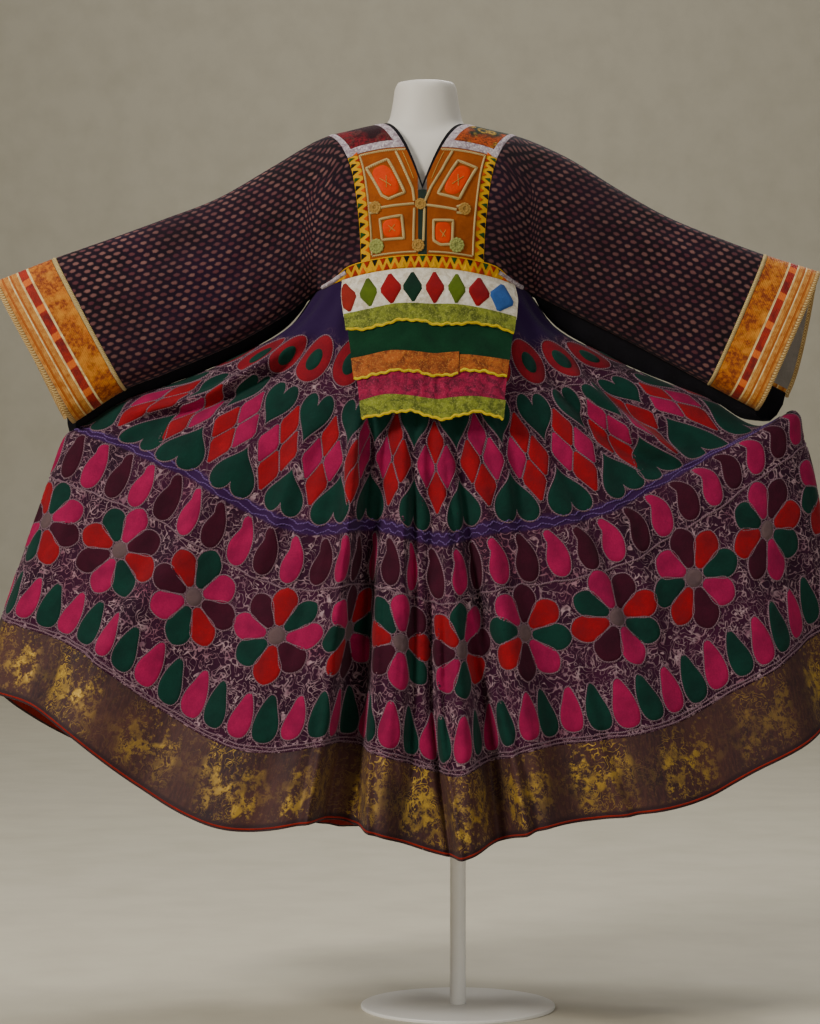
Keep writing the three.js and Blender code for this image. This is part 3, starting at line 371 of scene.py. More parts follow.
# Meshes.
def make(name, points, faces, uv=None, place=None, material=None, sharp=50):
    """A mesh object from points in millimetres and lists of faces, with its UVs per point."""
    mesh = bpy.data.meshes.new(name)
    mesh.from_pydata((np.asarray(points) / 1000).tolist(), [], faces)
    corner = np.zeros(len(mesh.loops), np.int32)
    mesh.loops.foreach_get("vertex_index", corner)
    for layer, values in (("cloth", uv), ("place", place)):
        if values is not None:
            flat = np.asarray(values)[corner].ravel().astype(np.float32)
            mesh.uv_layers.new(name=layer).data.foreach_set("uv", flat)
    mesh.polygons.foreach_set("use_smooth", [True] * len(mesh.polygons))
    mesh.set_sharp_from_angle(angle=math.radians(sharp))
    obj = bpy.data.objects.new(name, mesh)
    bpy.context.scene.collection.objects.link(obj)
    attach(obj, "root")
    if material:
        mesh.materials.append(material)
    return obj


def lengths(points, axis):
    """How far each point lies along its row or column."""
    step = np.linalg.norm(np.diff(points, axis=axis), axis=-1)
    start = np.zeros_like(np.take(step, [0], axis))
    return np.concatenate([start, np.cumsum(step, axis)], axis)


def wall(name, outer, inner, material, closed=False, place=None):
    """A closed wall between two grids of points. Its cloth UV is in metres, across and down."""
    rows, columns = outer.shape[:2]
    index = np.arange(rows * columns).reshape(rows, columns)
    if closed:
        index = np.concatenate([index, index[:, :1]], 1)
    a, b, c, d = index[:-1, :-1], index[:-1, 1:], index[1:, 1:], index[1:, :-1]
    under = rows * columns
    front = np.stack([a, b, c, d], -1).reshape(-1, 4)
    back = np.stack([a, d, c, b], -1).reshape(-1, 4) + under
    rims = []
    edges = [(index[0], True), (index[-1], False)]
    if not closed:
        edges += [(index[:, 0], False), (index[:, -1], True)]
    for line, flip in edges:
        p, q = (line[1:], line[:-1]) if flip else (line[:-1], line[1:])
        rims.append(np.stack([q, p, p + under, q + under], -1))
    faces = np.concatenate([front, back, *rims])
    points = np.concatenate([outer.reshape(-1, 3), inner.reshape(-1, 3)])
    p = points[faces]
    volume = (p[:, 0] * np.cross(p[:, 1], p[:, 2])).sum() + (p[:, 0] * np.cross(p[:, 2], p[:, 3])).sum()
    if volume < 0:
        faces = faces[:, ::-1]
    across, down = lengths(outer, 1), lengths(outer, 0)
    across -= across.mean(1, keepdims=True)
    uv = np.stack([across, -down], -1).reshape(-1, 2) / 1000
    both = None if place is None else np.concatenate([place.reshape(-1, 2)] * 2)
    return make(name, points, faces.tolist(), np.concatenate([uv, uv]), both, material)


# The flat size and area of each sheet, printed at the end, and the size below which cloth is a rolled edge.
CUT = {}
NARROWEST = 0.011


def declare(obj, grid, held):
    """A sheet of cloth, with the flat size that its own rows and columns give."""
    wide, long = lengths(grid, 1)[:, -1].max() / 1000, lengths(grid, 0)[-1].max() / 1000
    a, b, c, d = grid[:-1, :-1], grid[:-1, 1:], grid[1:, 1:], grid[1:, :-1]
    area = min(np.linalg.norm(np.cross(c - a, d - b), axis=-1).sum() / 2e6, wide * long)
    if min(wide, long) < NARROWEST:
        return
    CUT[obj.name] = (round(wide, 3), round(long, 3), round(area, 4))


def cloth_piece(name, surface, inside, a, b, thick, lift, material, slot, on="dress_form", closed=False):
    """A fine wall on a surface that stands for the node of its name, declared as a sheet."""
    a, b = np.broadcast_arrays(np.asarray(a, float), np.asarray(b, float))
    outer, inner = lifted(surface, inside, a, b, lift + thick, lift)
    obj = wall(name + "_fine", outer, inner, material, closed, np.stack([a, b], -1))
    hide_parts(name)
    declare(obj, outer, "hung")


def ring_faces(count, n):
    """The four-sided faces between rings of n points each."""
    i = np.arange(n)
    j = (i + 1) % n
    return [np.stack([k * n + i, k * n + j, (k + 1) * n + j, (k + 1) * n + i], -1) for k in range(count - 1)]


def capped(count, n):
    """Those faces and a flat face at both ends."""
    return np.concatenate(ring_faces(count, n)).tolist() + [list(range(n))[::-1],
                                                            list(range((count - 1) * n, count * n))]


def cord_mesh(lines, wide, high):
    """Low cords with a flattened top along lines, each a list of (points, normals, closed)."""
    points, faces, uvs = [], [], []
    profile = [(-0.5, -0.25), (-0.24, 0.9), (0.24, 0.9), (0.5, -0.25)]
    total = 0
    for line, normal, closed in lines:
        n = len(line)
        ahead = np.roll(line, -1, 0) - np.roll(line, 1, 0)
        if not closed:
            ahead[0], ahead[-1] = line[1] - line[0], line[-1] - line[-2]
        side = np.cross(ahead, normal)
        side /= np.linalg.norm(side, axis=1, keepdims=True) + 1e-9
        run = np.concatenate([[0], np.cumsum(np.linalg.norm(np.diff(line, axis=0), axis=1))])
        for s, h in profile:
            points.append(line + side * s * wide + normal * h * high)
            uvs.append(np.stack([run, np.full(n, s * wide)], -1) / 1000)
        i = np.arange(n if closed else n - 1)
        j = (i + 1) % n
        for k in range(len(profile) - 1):
            low, up = total + k * n, total + (k + 1) * n
            faces.append(np.stack([low + i, low + j, up + j, up + i], -1)[:, ::-1])
        total += n * len(profile)
    return np.concatenate(points), np.concatenate(faces).tolist(), np.concatenate(uvs)


# Materials.
class Paint:
    """A node material and short ways to link its nodes."""

    def __init__(self, name, roughness=0.88, sheen=0.05, specular=0.18):
        self.material = bpy.data.materials.new(name)
        self.material.use_nodes = True
        self.tree = self.material.node_tree
        self.shader = self.tree.nodes["Principled BSDF"]
        for key, value in (("Roughness", roughness), ("Sheen Weight", sheen), ("Sheen Roughness", 0.5),
                           ("Specular IOR Level", specular)):
            self.shader.inputs[key].default_value = value

    def node(self, kind, inputs=(), **settings):
        node = self.tree.nodes.new("ShaderNode" + kind)
        for key, value in settings.items():
            setattr(node, key, value)
        for key, value in dict(inputs).items():
            self.put(value, node.inputs[key])
        return node

    def put(self, value, socket):
        if isinstance(value, bpy.types.NodeSocket):
            self.tree.links.new(value, socket)
        elif isinstance(value, str):
            socket.default_value = colour(value)
        else:
            socket.default_value = value

    def math(self, operation, a, b=0.0):
        return self.node("Math", {0: a, 1: b}, operation=operation).outputs[0]

    times = partialmethod(math, "MULTIPLY")
    plus = partialmethod(math, "ADD")
    minus = partialmethod(math, "SUBTRACT")
    over = partialmethod(math, "DIVIDE")
    size = partialmethod(math, "ABSOLUTE")
    part = partialmethod(math, "FRACT")
    most = partialmethod(math, "MAXIMUM")

    def near(self, value, middle, low, high):
        """1 where a value is within low of the middle, 0 past high."""
        return self.range(self.size(self.minus(value, middle)), low, high, 1, 0)

    def uv(self, name="cloth"):
        split = self.node("SeparateXYZ", {0: self.node("UVMap", uv_map=name).outputs[0]})
        return split.outputs[0], split.outputs[1]

    def xyz(self, x, y=0.0, z=0.0):
        return self.node("CombineXYZ", {0: x, 1: y, 2: z}).outputs[0]

    def space(self):
        return self.node("TexCoord").outputs["Object"]

    def noise(self, scale, detail=3.0, at=None, rough=0.55, bent=0.0):
        settings = {"Vector": at or self.space(), "Scale": scale, "Detail": detail, "Roughness": rough,
                    "Distortion": bent}
        return self.node("TexNoise", settings).outputs[0]

    def range(self, value, low, high, to_low=0.0, to_high=1.0):
        return self.node("MapRange", {0: value, 1: low, 2: high, 3: to_low, 4: to_high}).outputs[0]

    def spots(self, scale, detail, low, high, to_low=0.0, to_high=1.0):
        """Soft spots of a size, from the noise between two of its values."""
        return self.range(self.noise(scale, detail), low, high, to_low, to_high)

    def blend(self, factor, a, b):
        node = self.node("Mix", data_type="RGBA")
        self.put(factor, node.inputs[0])
        self.put(a, node.inputs[6])
        self.put(b, node.inputs[7])
        return node.outputs[2]

    def weave(self, pitch=0.0011):
        """A plain weave's height, from crossed threads."""
        x, y = self.uv()
        a = self.math("SINE", self.times(x, 2 * math.pi / pitch))
        b = self.math("SINE", self.times(y, 2 * math.pi / pitch))
        return self.times(a, b)

    def bump(self, height, strength=0.3, distance=0.001):
        node = self.node("Bump", {"Height": height, "Strength": strength, "Distance": distance})
        if self.shader.inputs["Normal"].is_linked:
            self.put(self.shader.inputs["Normal"].links[0].from_socket, node.inputs["Normal"])
        self.put(node.outputs[0], self.shader.inputs["Normal"])

    def finish(self, base, roughness=None):
        self.put(base, self.shader.inputs["Base Color"])
        if roughness is not None:
            self.put(roughness, self.shader.inputs["Roughness"])
        return self.material


def colour(text):
    """A linear colour from its sRGB hex digits."""
    parts = [int(text[i : i + 2], 16) / 255 for i in (0, 2, 4)]
    return [v / 12.92 if v < 0.04045 else ((v + 0.055) / 1.055) ** 2.4 for v in parts] + [1.0]


def plain_cloth(name, base, dark, sheen=0.04, pitch=0.0011):
    """Woven cloth in one colour with worn and shaded places, threads and small wrinkles."""
    p = Paint(name, 0.9, sheen)
    blotch = p.spots(28, 4, 0.35, 0.7)
    fine = p.spots(420, 2, 0.3, 0.75)
    tint = p.blend(p.times(blotch, 0.6), base, dark)
    tint = p.blend(p.times(fine, 0.35), tint, dark)
    p.bump(p.weave(pitch), 0.25, 0.0004)
    p.bump(p.noise(95, 3), 0.4, 0.002)
    p.bump(p.noise(38, 2), 0.35, 0.004)
    return p.finish(tint)


def crinkled(name, base, dark, light):
    """Thin crumpled cloth with painted shade in the hollows of its creases and small bright spots."""
    p = Paint(name, 0.8, specular=0.25)
    folds = p.noise(70, rough=0.6, bent=0.8)
    # Painted shade: darker where the crease pattern that drives the bump is low, in its hollows.
    tint = p.blend(p.range(folds, 0.38, 0.62), dark, base)
    spots = p.range(p.noise(420, 3, rough=0.7), 0.52, 0.64)
    tint = p.blend(p.times(spots, 0.55), tint, light)
    tint = p.blend(p.spots(19, 2, 0.45, 0.75, 0, 0.4), tint, dark)
    p.bump(folds, 0.6, 0.003)
    p.bump(p.noise(300, 2), 0.3, 0.0008)
    return p.finish(tint)


def twisted(name, base, dark, pitch=0.0035, slant=1.2):
    """A twisted cord or a braid's edge, with painted shade in the grooves of its twist."""
    p = Paint(name, 0.8)
    x, y = p.uv()
    turn = p.times(p.plus(x, p.times(y, slant)), 2 * math.pi / pitch)
    strand_and_groove_shade = p.range(p.math("SINE", turn), -1, 1)
    spots = p.spots(60, 3, 0.35, 0.7)
    # Painted shade: each ply of the twist darkens into the groove beside it, where its bump is lowest.
    tint = p.blend(strand_and_groove_shade, dark, base)
    tint = p.blend(p.times(spots, 0.35), tint, dark)
    p.bump(strand_and_groove_shade, 0.6, 0.0008)
    return p.finish(tint)


def patterned(name, ground, first, second, scale=90, worn="3a1c20"):
    """Cloth with a dense all-over pattern in two colours."""
    p = Paint(name)
    cells = p.node("TexVoronoi", {"Vector": p.space(), "Scale": scale}, feature="F1")
    ring = p.near(cells.outputs["Distance"], 0.3, 0.04, 0.12)
    patch = p.range(p.noise(scale * 0.45, 2), 0.5, 0.58)
    tint = p.blend(patch, ground, first)
    tint = p.blend(p.times(ring, 0.85), tint, second)
    tint = p.blend(p.spots(300, 2, 0.4, 0.75), tint, worn)
    p.bump(ring, 0.4, 0.0008)
    p.bump(p.weave(), 0.25, 0.0004)
    return p.finish(tint)


def dotted_cloth():
    """Dark aubergine cloth with staggered rows of small pinkish ovals along the sleeve."""
    p = Paint("dotted_cloth")
    x, y = p.uv()
    across, high = 0.0155, 0.0105
    v = p.over(y, high)
    row = p.math("FLOOR", v)
    shift = p.times(p.math("MODULO", p.size(row), 2), 0.5)
    u = p.plus(p.over(x, across), shift)
    cell = p.xyz(p.math("FLOOR", u), row)
    random = p.node("TexWhiteNoise", {"Vector": cell}, noise_dimensions="3D")
    fu = p.minus(p.part(u), 0.5)
    fv = p.minus(p.part(v), 0.5)
    slanted = p.plus(fv, p.times(fu, 0.25))
    far = p.math("SQRT", p.plus(p.math("POWER", p.times(fu, 2.7), 2),
                                p.math("POWER", p.times(slanted, 3.3), 2)))
    ragged = p.plus(far, p.times(p.minus(p.noise(330, 2), 0.5), 0.75))
    dot = p.range(ragged, 0.62, 1.12, 1, 0)
    tone = p.blend(random.outputs[0], "562a32", "815852")
    faded = p.spots(7, 2, 0.35, 0.65, 0.55, 1.0)
    base = p.blend(p.spots(16, 3, 0.35, 0.7), "12060d", "1f0a1a")
    base = p.blend(p.spots(3.5, 2, 0.5, 0.7, 0, 0.5), base, "240c2a")
    tint = p.blend(p.times(dot, faded), base, tone)
    p.bump(dot, 0.35, 0.0008)
    p.bump(p.weave(0.0016), 0.3, 0.0005)
    p.bump(p.noise(60, 3), 0.3, 0.002)
    return p.finish(tint)


def skirt_ground():
    """Plum cloth covered with pale couched squiggles, plain deep purple near the waist and in one band."""
    p = Paint("skirt_ground")
    down = p.uv("place")[1]
    lines = p.near(p.noise(52, 0.8, rough=0.4, bent=1.2), 0.5, 0.01, 0.034)
    aside = p.node("Mapping", {0: p.space(), 1: (3.1, 1.7, 5.2)}).outputs[0]
    more = p.near(p.noise(62, 0.6, aside, 0.4, 1.7), 0.47, 0.009, 0.032)
    dense = p.range(down, 0.56, 0.58)
    squiggle = p.most(lines, p.times(more, p.range(dense, 0, 1, 0.55, 1)))
    waist = p.range(p.plus(down, p.times(p.minus(p.noise(14, 2), 0.5), 0.12)),
                    0.1, 0.15)
    band = p.most(p.range(down, 0.452, 0.462, 1, 0), p.range(down, 0.479, 0.484))
    shown = p.times(squiggle, p.times(waist, band))
    shown = p.times(shown, p.spots(22, 2, 0.3, 0.55, 0.6, 1))
    ground = p.blend(p.spots(10, 3, 0.35, 0.7), "3a0c2a", "24071d")
    ground = p.blend(waist, "240c38", ground)
    ground = p.blend(band, "30103f", ground)
    pink = p.spots(9, 2, 0.55, 0.7)
    thread = p.blend(p.spots(55, 2, 0.35, 0.65), "785260", "a98b90")
    thread = p.blend(p.times(pink, 0.6), thread, "8c2f52")
    tint = p.blend(shown, ground, thread)
    p.bump(shown, 0.7, 0.0014)
    p.bump(p.weave(), 0.25, 0.0004)
    p.bump(p.noise(80, 3), 0.35, 0.0018)
    return p.finish(tint)


def hem_brocade():
    """Brown-purple brocade with worn gold flower blocks, thin wavy gold threads and a dark lower edge."""
    p = Paint("hem_brocade", 0.62, specular=0.3)
    x, y = p.uv()
    down = p.uv("place")[1]
    block = p.part(p.over(x, 0.152))
    flower = p.part(p.over(x, 0.076))
    fx = p.minus(flower, 0.5)
    fy = p.minus(p.range(down, BORDER_TOP, 1), 0.52)
    far = p.math("SQRT", p.plus(p.math("POWER", p.times(fx, 0.62), 2), p.math("POWER", fy, 2)))
    angle = p.math("ARCTAN2", fy, fx)
    petals = p.times(p.math("COSINE", p.times(angle, 6)), 0.055)
    inside = p.range(p.minus(far, petals), 0.26, 0.3, 1, 0)
    eye = p.range(far, 0.045, 0.075)
    worn = p.range(p.noise(75, 5, rough=0.75), 0.46, 0.54)
    streak = p.range(p.noise(1, 3, at=p.xyz(p.times(x, 240), p.times(y, 60))), 0.42, 0.6)
    scattered = p.range(p.noise(120, 4, rough=0.75), 0.55, 0.61)
    vein = p.near(p.noise(55, 1.5, rough=0.5, bent=1.8), 0.5, 0.012, 0.035)
    plain = p.range(p.size(p.minus(block, 0.5)), 0.3, 0.36)
    gold = p.times(p.times(inside, eye), worn)
    gold = p.times(gold, p.spots(42, 2, 0.4, 0.6, 0.35, 1))
    gold = p.most(gold, p.times(vein, p.spots(13, 2, 0.46, 0.58)))
    gold = p.most(gold, p.times(scattered, 0.45))
    gold = p.times(gold, p.minus(1, p.times(plain, 0.75)))
    gold = p.times(gold, p.spots(5, 2, 0.38, 0.62, 0.25, 1))
    sheen = p.blend(p.spots(9, 3, 0.35, 0.68), "260f16", "472620")
    base = p.blend(p.times(streak, 0.35), sheen, "563026")
    tint = p.blend(p.times(gold, 0.95), base, "bf9838")
    tint = p.blend(p.range(down, 0.985, 0.99), tint, "2a1014")
    p.bump(gold, 0.5, 0.001)
    p.bump(streak, 0.25, 0.0006)
    p.bump(p.noise(70, 3), 0.4, 0.0022)
    p.put(p.times(gold, 0.55), p.shader.inputs["Metallic"])
    return p.finish(tint, p.range(gold, 0, 1, 0.68, 0.4))


def cuff_brocade():
    """The cuff's stripes: orange brocade, cream lines, red segments with orange blocks, then tan."""
    p = Paint("cuff_brocade", 0.7, specular=0.25)
    s = p.range(p.uv("place")[0], CUFF_SEAM, CUFF_EDGE)
    y = p.uv()[1]
    brocade = p.range(p.noise(150, 4, rough=0.7), 0.42, 0.6)
    orange = p.blend(brocade, "7e340a", "bd6914")
    orange = p.blend(p.spots(40, 3, 0.5, 0.7), orange, "cf8420")
    cell = p.part(p.times(y, 1 / 0.052))
    gap = p.range(p.size(p.minus(cell, 0.5)), 0.37, 0.4)
    red = p.blend(p.spots(70, 3, 0.35, 0.7), "a3260f", "6d1410")
    red = p.blend(gap, red, "d0641c")
    cream = p.blend(p.spots(90, 3, 0.35, 0.7), "e8d49a", "c09a5c")
    tan = p.blend(p.spots(120, 3, 0.35, 0.7), "c98a3c", "a35c1c")
    line = "a4540f"
    tint = orange
    stripes = ((0.43, cream), (0.468, red), (0.62, cream), (0.655, tan), (0.75, line), (0.79, cream),
               (0.815, tan), (0.9, line), (0.94, tan))
    for start, shade in stripes:
        tint = p.blend(p.range(s, start, start + 0.008), tint, shade)
    ribs = p.math("SINE", p.times(s, 2 * math.pi * 30))
    p.bump(brocade, 0.4, 0.0009)
    p.bump(ribs, 0.3, 0.0007)
    return p.finish(tint)


def painted(name, base, shade, roughness=0.45):
    """Smooth painted or moulded surface with faint unevenness and handling marks."""
    p = Paint(name, roughness, 0.0, specular=0.45)
    marks = p.spots(6, 4, 0.4, 0.75)
    tint = p.blend(p.times(marks, 0.5), base, shade)
    p.bump(p.noise(180, 3), 0.06, 0.0005)
    return p.finish(tint, p.spots(14, 3, 0.3, 0.7, roughness - 0.07, roughness + 0.1))


# Plain cloths: name, colour, its worn colour, then the sheen and the weave's pitch where they differ.
PLAIN = {
    "black": ("gusset_cloth", "070508", "120f16", 0.02),
    "pink": ("applique_pink", "a00e48", "640830"),
    "red": ("applique_red", "980a18", "5a0811"),
    "green": ("applique_green", "05352a", "031c18"),
    "maroon": ("applique_maroon", "40061e", "220312"),
    "ring": ("applique_ring_red", "860e1c", "4c0717"),
    "centre": ("applique_centre", "66504f", "42333a"),
    "bib": ("bib_cloth", "a0500f", "6c3008", 0.04, 0.002),
    "orange": ("orange_panel", "e04206", "ad2a06", 0.04, 0.0016),
    "yellow": ("trim_yellow", "dba50f", "a87410", 0.04, 0.0014),
    "ink": ("trim_black", "10160f", "040605"),
    "trim_green": ("trim_green", "1c4a18", "0f2c10"),
    "trim_red": ("trim_red", "a3280e", "6b180e"),
    "trim_orange": ("trim_orange", "cf580c", "9a3d0a"),
    "slit": ("slit_cloth", "27362c", "161f1b"),
    "apron_green": ("apron_green", "053a20", "022213"),
    "edge": ("ribbon_edge", "d8bd18", "a3840f"),
    "d_rust": ("diamond_rust", "932518", "5f1510"),
    "d_olive": ("diamond_olive", "566812", "374410"),
    "d_red": ("diamond_red", "960e16", "5e0a10"),
    "d_green": ("diamond_green", "0c3220", "061d14"),
    "d_blue": ("diamond_blue", "2f5c9e", "1f3f72"),
    "facing": ("hem_lining", "96200f", "62150c"),
    "lining": ("cuff_lining", "8d857b", "6b625a"),
}
PAINTS = {
    "dots": dotted_cloth(),
    "ground": skirt_ground(),
    "hem": hem_brocade(),
    "cuff": cuff_brocade(),
    "cream": twisted("cream_cord", "d9c48e", "96783c"),
    "cuff_edge": twisted("cuff_edge_cord", "d2b47a", "8a6430", 0.006),
    "pale": twisted("pale_cord", "8f7079", "553c48", 0.004),
    "mauve": twisted("mauve_cord", "6f5286", "3e2858", 0.005),
    "silver": patterned("silver_braid", "b9adb0", "8f7f86", "e2d9d6", 240, "8a767e"),
    "patch_left": patterned("patch_maroon", "2a060e", "74101a", "5c2a26", 34, "180509"),
    "patch_right": patterned("patch_green", "1c2a12", "b0480f", "b8902c", 42, "141208"),
    "button": twisted("button_thread", "bdbb6c", "77803a", 0.003),
    "button_gold": twisted("button_gold_thread", "cfa456", "936a28", 0.003),
    "white": crinkled("apron_white", "dcd3c0", "b8ab92", "ece5d6"),
    "crimson": crinkled("apron_crimson", "9a0f3c", "5a0826", "b8305a"),
    "olive": crinkled("ribbon_olive", "7c8424", "4a5210", "a8ab52"),
    "ribbon_orange": crinkled("ribbon_orange", "a6551a", "6e300c", "c98a3a"),
    "form": painted("form_shell", "dad4c8", "c8bfaf", 0.5),
    "stand": painted("stand_paint", "efece4", "dfdacd", 0.38),
}
PAINTS.update({key: plain_cloth(*row) for key, row in PLAIN.items()})

# Bodice, sleeves and cuffs.
FRONT_ROWS = [0, 0.06, 0.1, 0.14, 0.18, 0.22, 0.26, 0.28, 0.295, 0.325, 0.38, 0.43, 0.465, 0.5]
BODY_ROWS = np.array(FRONT_ROWS + [0.53, 0.56, 0.6, 0.66, 0.73, 0.81, 0.9, 1])
ARM_ROWS = np.array([0, 0.01, 0.025, 0.05, 0.085, 0.13, 0.18, 0.235, 0.29, 0.34, 0.385, 0.425, 0.465, 0.5,
                     0.54, 0.59, 0.66, 0.75, 0.85, 0.93, 0.975, 1])
FINE = np.linspace(0, 21, 106)
ARM_FINE = np.interp(FINE, np.arange(22), ARM_ROWS)
SIDES = (LEFT, RIGHT)
BODY = (bodice, bodice_inside)
# How long the bodice is in mm over all its rows.
ROWS_LONG = 700


def span(low, high, count):
    return np.linspace(low, high, count + 1)


def trim_floor(across):
    """The row of the waist trim's upper edge."""
    return TRIM_ROW * (1 - smooth((across - 120) / 49))


def sleeve_edge(row):
    """How far from the middle the sleeve's cloth starts."""
    return along(SLEEVE_START, "out", row)


def neck_low(wide):
    """The row of the V's point, at a distance outside the neck's edge."""
    return NECK_LOW - wide / ROWS_LONG


def neck_back(wide):
    """How many rows the neck reaches past the fold."""
    return NECK_BACK + wide / 500


def neck_edge(side, row, wide):
    """How far from the middle the neck's edge lies, at a distance outside it."""
    low = neck_low(wide)
    back = np.sqrt(np.maximum(0, 1 - ((row - 0.5) / neck_back(wide)) ** 2))
    half = NECK_HALF + wide + side["sign"] * NECK_SHIFT
    return half * np.where(row < 0.5, (row - low) / (0.5 - low), back)


def on_side(side, creased=True):
    """The surface of one side and the line inside it."""
    return (lambda a, b: tee(side, a, b, creased)), (lambda a, b: tee_inside(side, a, b))


def build_sleeve(side):
    name = "sleeve_" + side["name"]
    body_rows = np.interp(FINE, np.arange(22), BODY_ROWS)[:, None]
    start = (sleeve_edge(np.maximum(body_rows, TRIM_ROW)) + SEAM) / BODICE_SIDE
    body_at = mix(start, 1, span(0, 1, 16)[None, :])
    floor = trim_floor(body_at * BODICE_SIDE) + 0.0008 * (body_at < 1)
    body_row = body_rows + floor * np.maximum(0, 1 - FINE[:, None])
    arm_at = span(1.01, CUFF_SEAM - 0.018, 108)[None, :] + 0 * body_rows
    arm_row = mix(body_rows, ARM_FINE[:, None], smooth((arm_at - 1) / 0.1))
    rows = np.concatenate([np.broadcast_to(body_row, body_at.shape), arm_row], 1)
    stations = np.concatenate([body_at, arm_at], 1)
    cloth_piece(name, *on_side(side), stations, rows, CLOTH, -CLOTH, PAINTS["dots"], "dotted_cloth")


def build_underarm(side):
    name = "underarm_" + side["name"]
    surface, within = on_side(side, False)
    at = np.concatenate([span(1.05, 1.98, 76), span(1.99, CUFF_EDGE, 10)])
    inset = CLOTH + 2 * SEAM + 2.5 * smooth((1.1 - at) / 0.05)

    def inner(row):
        return lifted(surface, within, at, np.full(at.shape, row), -inset)[0]

    # Partly painted shade: the black cloth sags to meet the skirt and fills the gap between them, where there
    # is shadow.
    sag = along(GUSSET_HANG, side["name"], at)
    fade = sag / 34
    front, back = inner(0.0005) + (0, 1.2, 0), inner(0.9995) + (0, -1.2, 0.4)
    under = []
    for share in (0.08, 0.28, 0.5, 0.72, 0.92):
        hang = 2.5 + sag * math.sin(math.pi * share) ** 0.6
        drop = np.stack([0 * hang, 0 * hang, hang], -1)
        ripple = 1.2 * math.sin(math.pi * share) * np.sin(at * 46 + 3 * share) * fade
        under.append(mix(front, back, share) - drop + ripple[:, None] * (0, 1, 0))
    loop = [inner(0.025), inner(0.01), front, *under, back, inner(0.975) + (0, 0, 1)]
    knots = np.arange(len(loop))
    fine = np.linspace(0, len(loop) - 1, 37)
    stacked = np.stack(loop, 1)
    outer = np.stack([[np.interp(fine, knots, line[:, k]) for k in range(3)] for line in stacked])
    outer = outer.transpose(0, 2, 1)

    def change(points, axis):
        first, last = np.take(points, [0], axis), np.take(points, [-1], axis)
        wide = np.concatenate([first, points, last], axis)
        n = points.shape[axis]
        step = np.take(wide, range(2, n + 2), axis) - np.take(wide, range(n), axis)
        return step / (np.linalg.norm(step, axis=-1, keepdims=True) + 1e-9)

    normal = np.cross(change(outer, 1), change(outer, 0))
    normal /= np.linalg.norm(normal, axis=-1, keepdims=True) + 1e-9
    moved = outer + normal * (CLOTH if side["sign"] < 0 else -CLOTH)
    obj = wall(name + "_fine", outer, moved, PAINTS["black"])
    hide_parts(name)
    declare(obj, outer, "hung")


def build_cuff(side):
    surface, inside = on_side(side, False)
    for name, start, end, count, thick, paint, slot in (
        ("cuff_piping", CUFF_SEAM - 0.0165, CUFF_SEAM - 0.001, 4, EDGE, "cream", "cuff_cord"),
        ("cuff", CUFF_SEAM + 0.0005, CUFF_EDGE, 26, BAND, "cuff", "cuff_brocade"),
        ("cuff_edge", CUFF_EDGE + 0.001, CUFF_EDGE + 0.018, 4, EDGE, "cuff_edge", "cuff_cord"),
    ):
        name += "_" + side["name"]
        at, row = np.broadcast_arrays(span(start, end, count)[None, :], ARM_FINE[:, None])
        lift = thick
        if count == 4:
            lift = thick * (0.45 + 0.55 * np.sin(math.pi * (at - start) / (end - start)))
        ribs = 0.25 * np.sin((at - CUFF_SEAM) * 2 * math.pi / 0.02) if count > 4 else 0
        outer, inner = lifted(surface, inside, at, row, lift + ribs - CLOTH, np.full(at.shape, -CLOTH))
        obj = wall(name + "_fine", outer, inner, PAINTS[paint], place=np.stack([at, row], -1))
        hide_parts(name)
        declare(obj, outer, "hung")
    rows = np.interp(span(0, 5, 25), np.arange(6), [0.54, 0.59, 0.66, 0.75, 0.85, 0.93])
    stations = span(CUFF_SEAM + 0.0005, CUFF_EDGE, 12)
    cloth_piece("cuff_facing_" + side["name"], surface, inside, stations[None, :], rows[:, None], 1,
                -CLOTH - SEAM - 1, PAINTS["lining"], "sleeve_lining", "cuff_" + side["name"])


def body_piece(name, across, rows, paint, slot, thick=BAND, closed=False):
    """A sheet on the bodice, its inner side level with the sleeves'."""
    cloth_piece(name, *BODY, across, rows, thick, -CLOTH, PAINTS[paint], slot, closed=closed)


def build_bib(side):
    sign, name = side["sign"], side["name"]
    rows = span(TRIM_ROW + ROW_GAP, BIB_TOP - ROW_GAP, 60)[:, None]
    inner = np.maximum(PLACK_HALF + SEAM, neck_edge(side, rows, BINDING + 0.6))
    outer = sleeve_edge(rows)
    share = span(0, 1, 24)[None, :]
    body_piece("bib_" + name, sign * mix(inner, outer - TRIM_WIDE - SEAM, share), rows, "bib", "bib_cloth")
    trim = sign * mix(outer - TRIM_WIDE, outer, share[:, ::4])
    body_piece("bib_trim_" + name, trim, rows, "yellow", "zigzag_trim")


def refine(path):
    """A path of pairs with five more points between any two."""
    path = np.array(path, float)
    fine = np.linspace(0, len(path) - 1, (len(path) - 1) * 6 + 1)
    return np.stack([np.interp(fine, np.arange(len(path)), path[:, k]) for k in (0, 1)], -1)


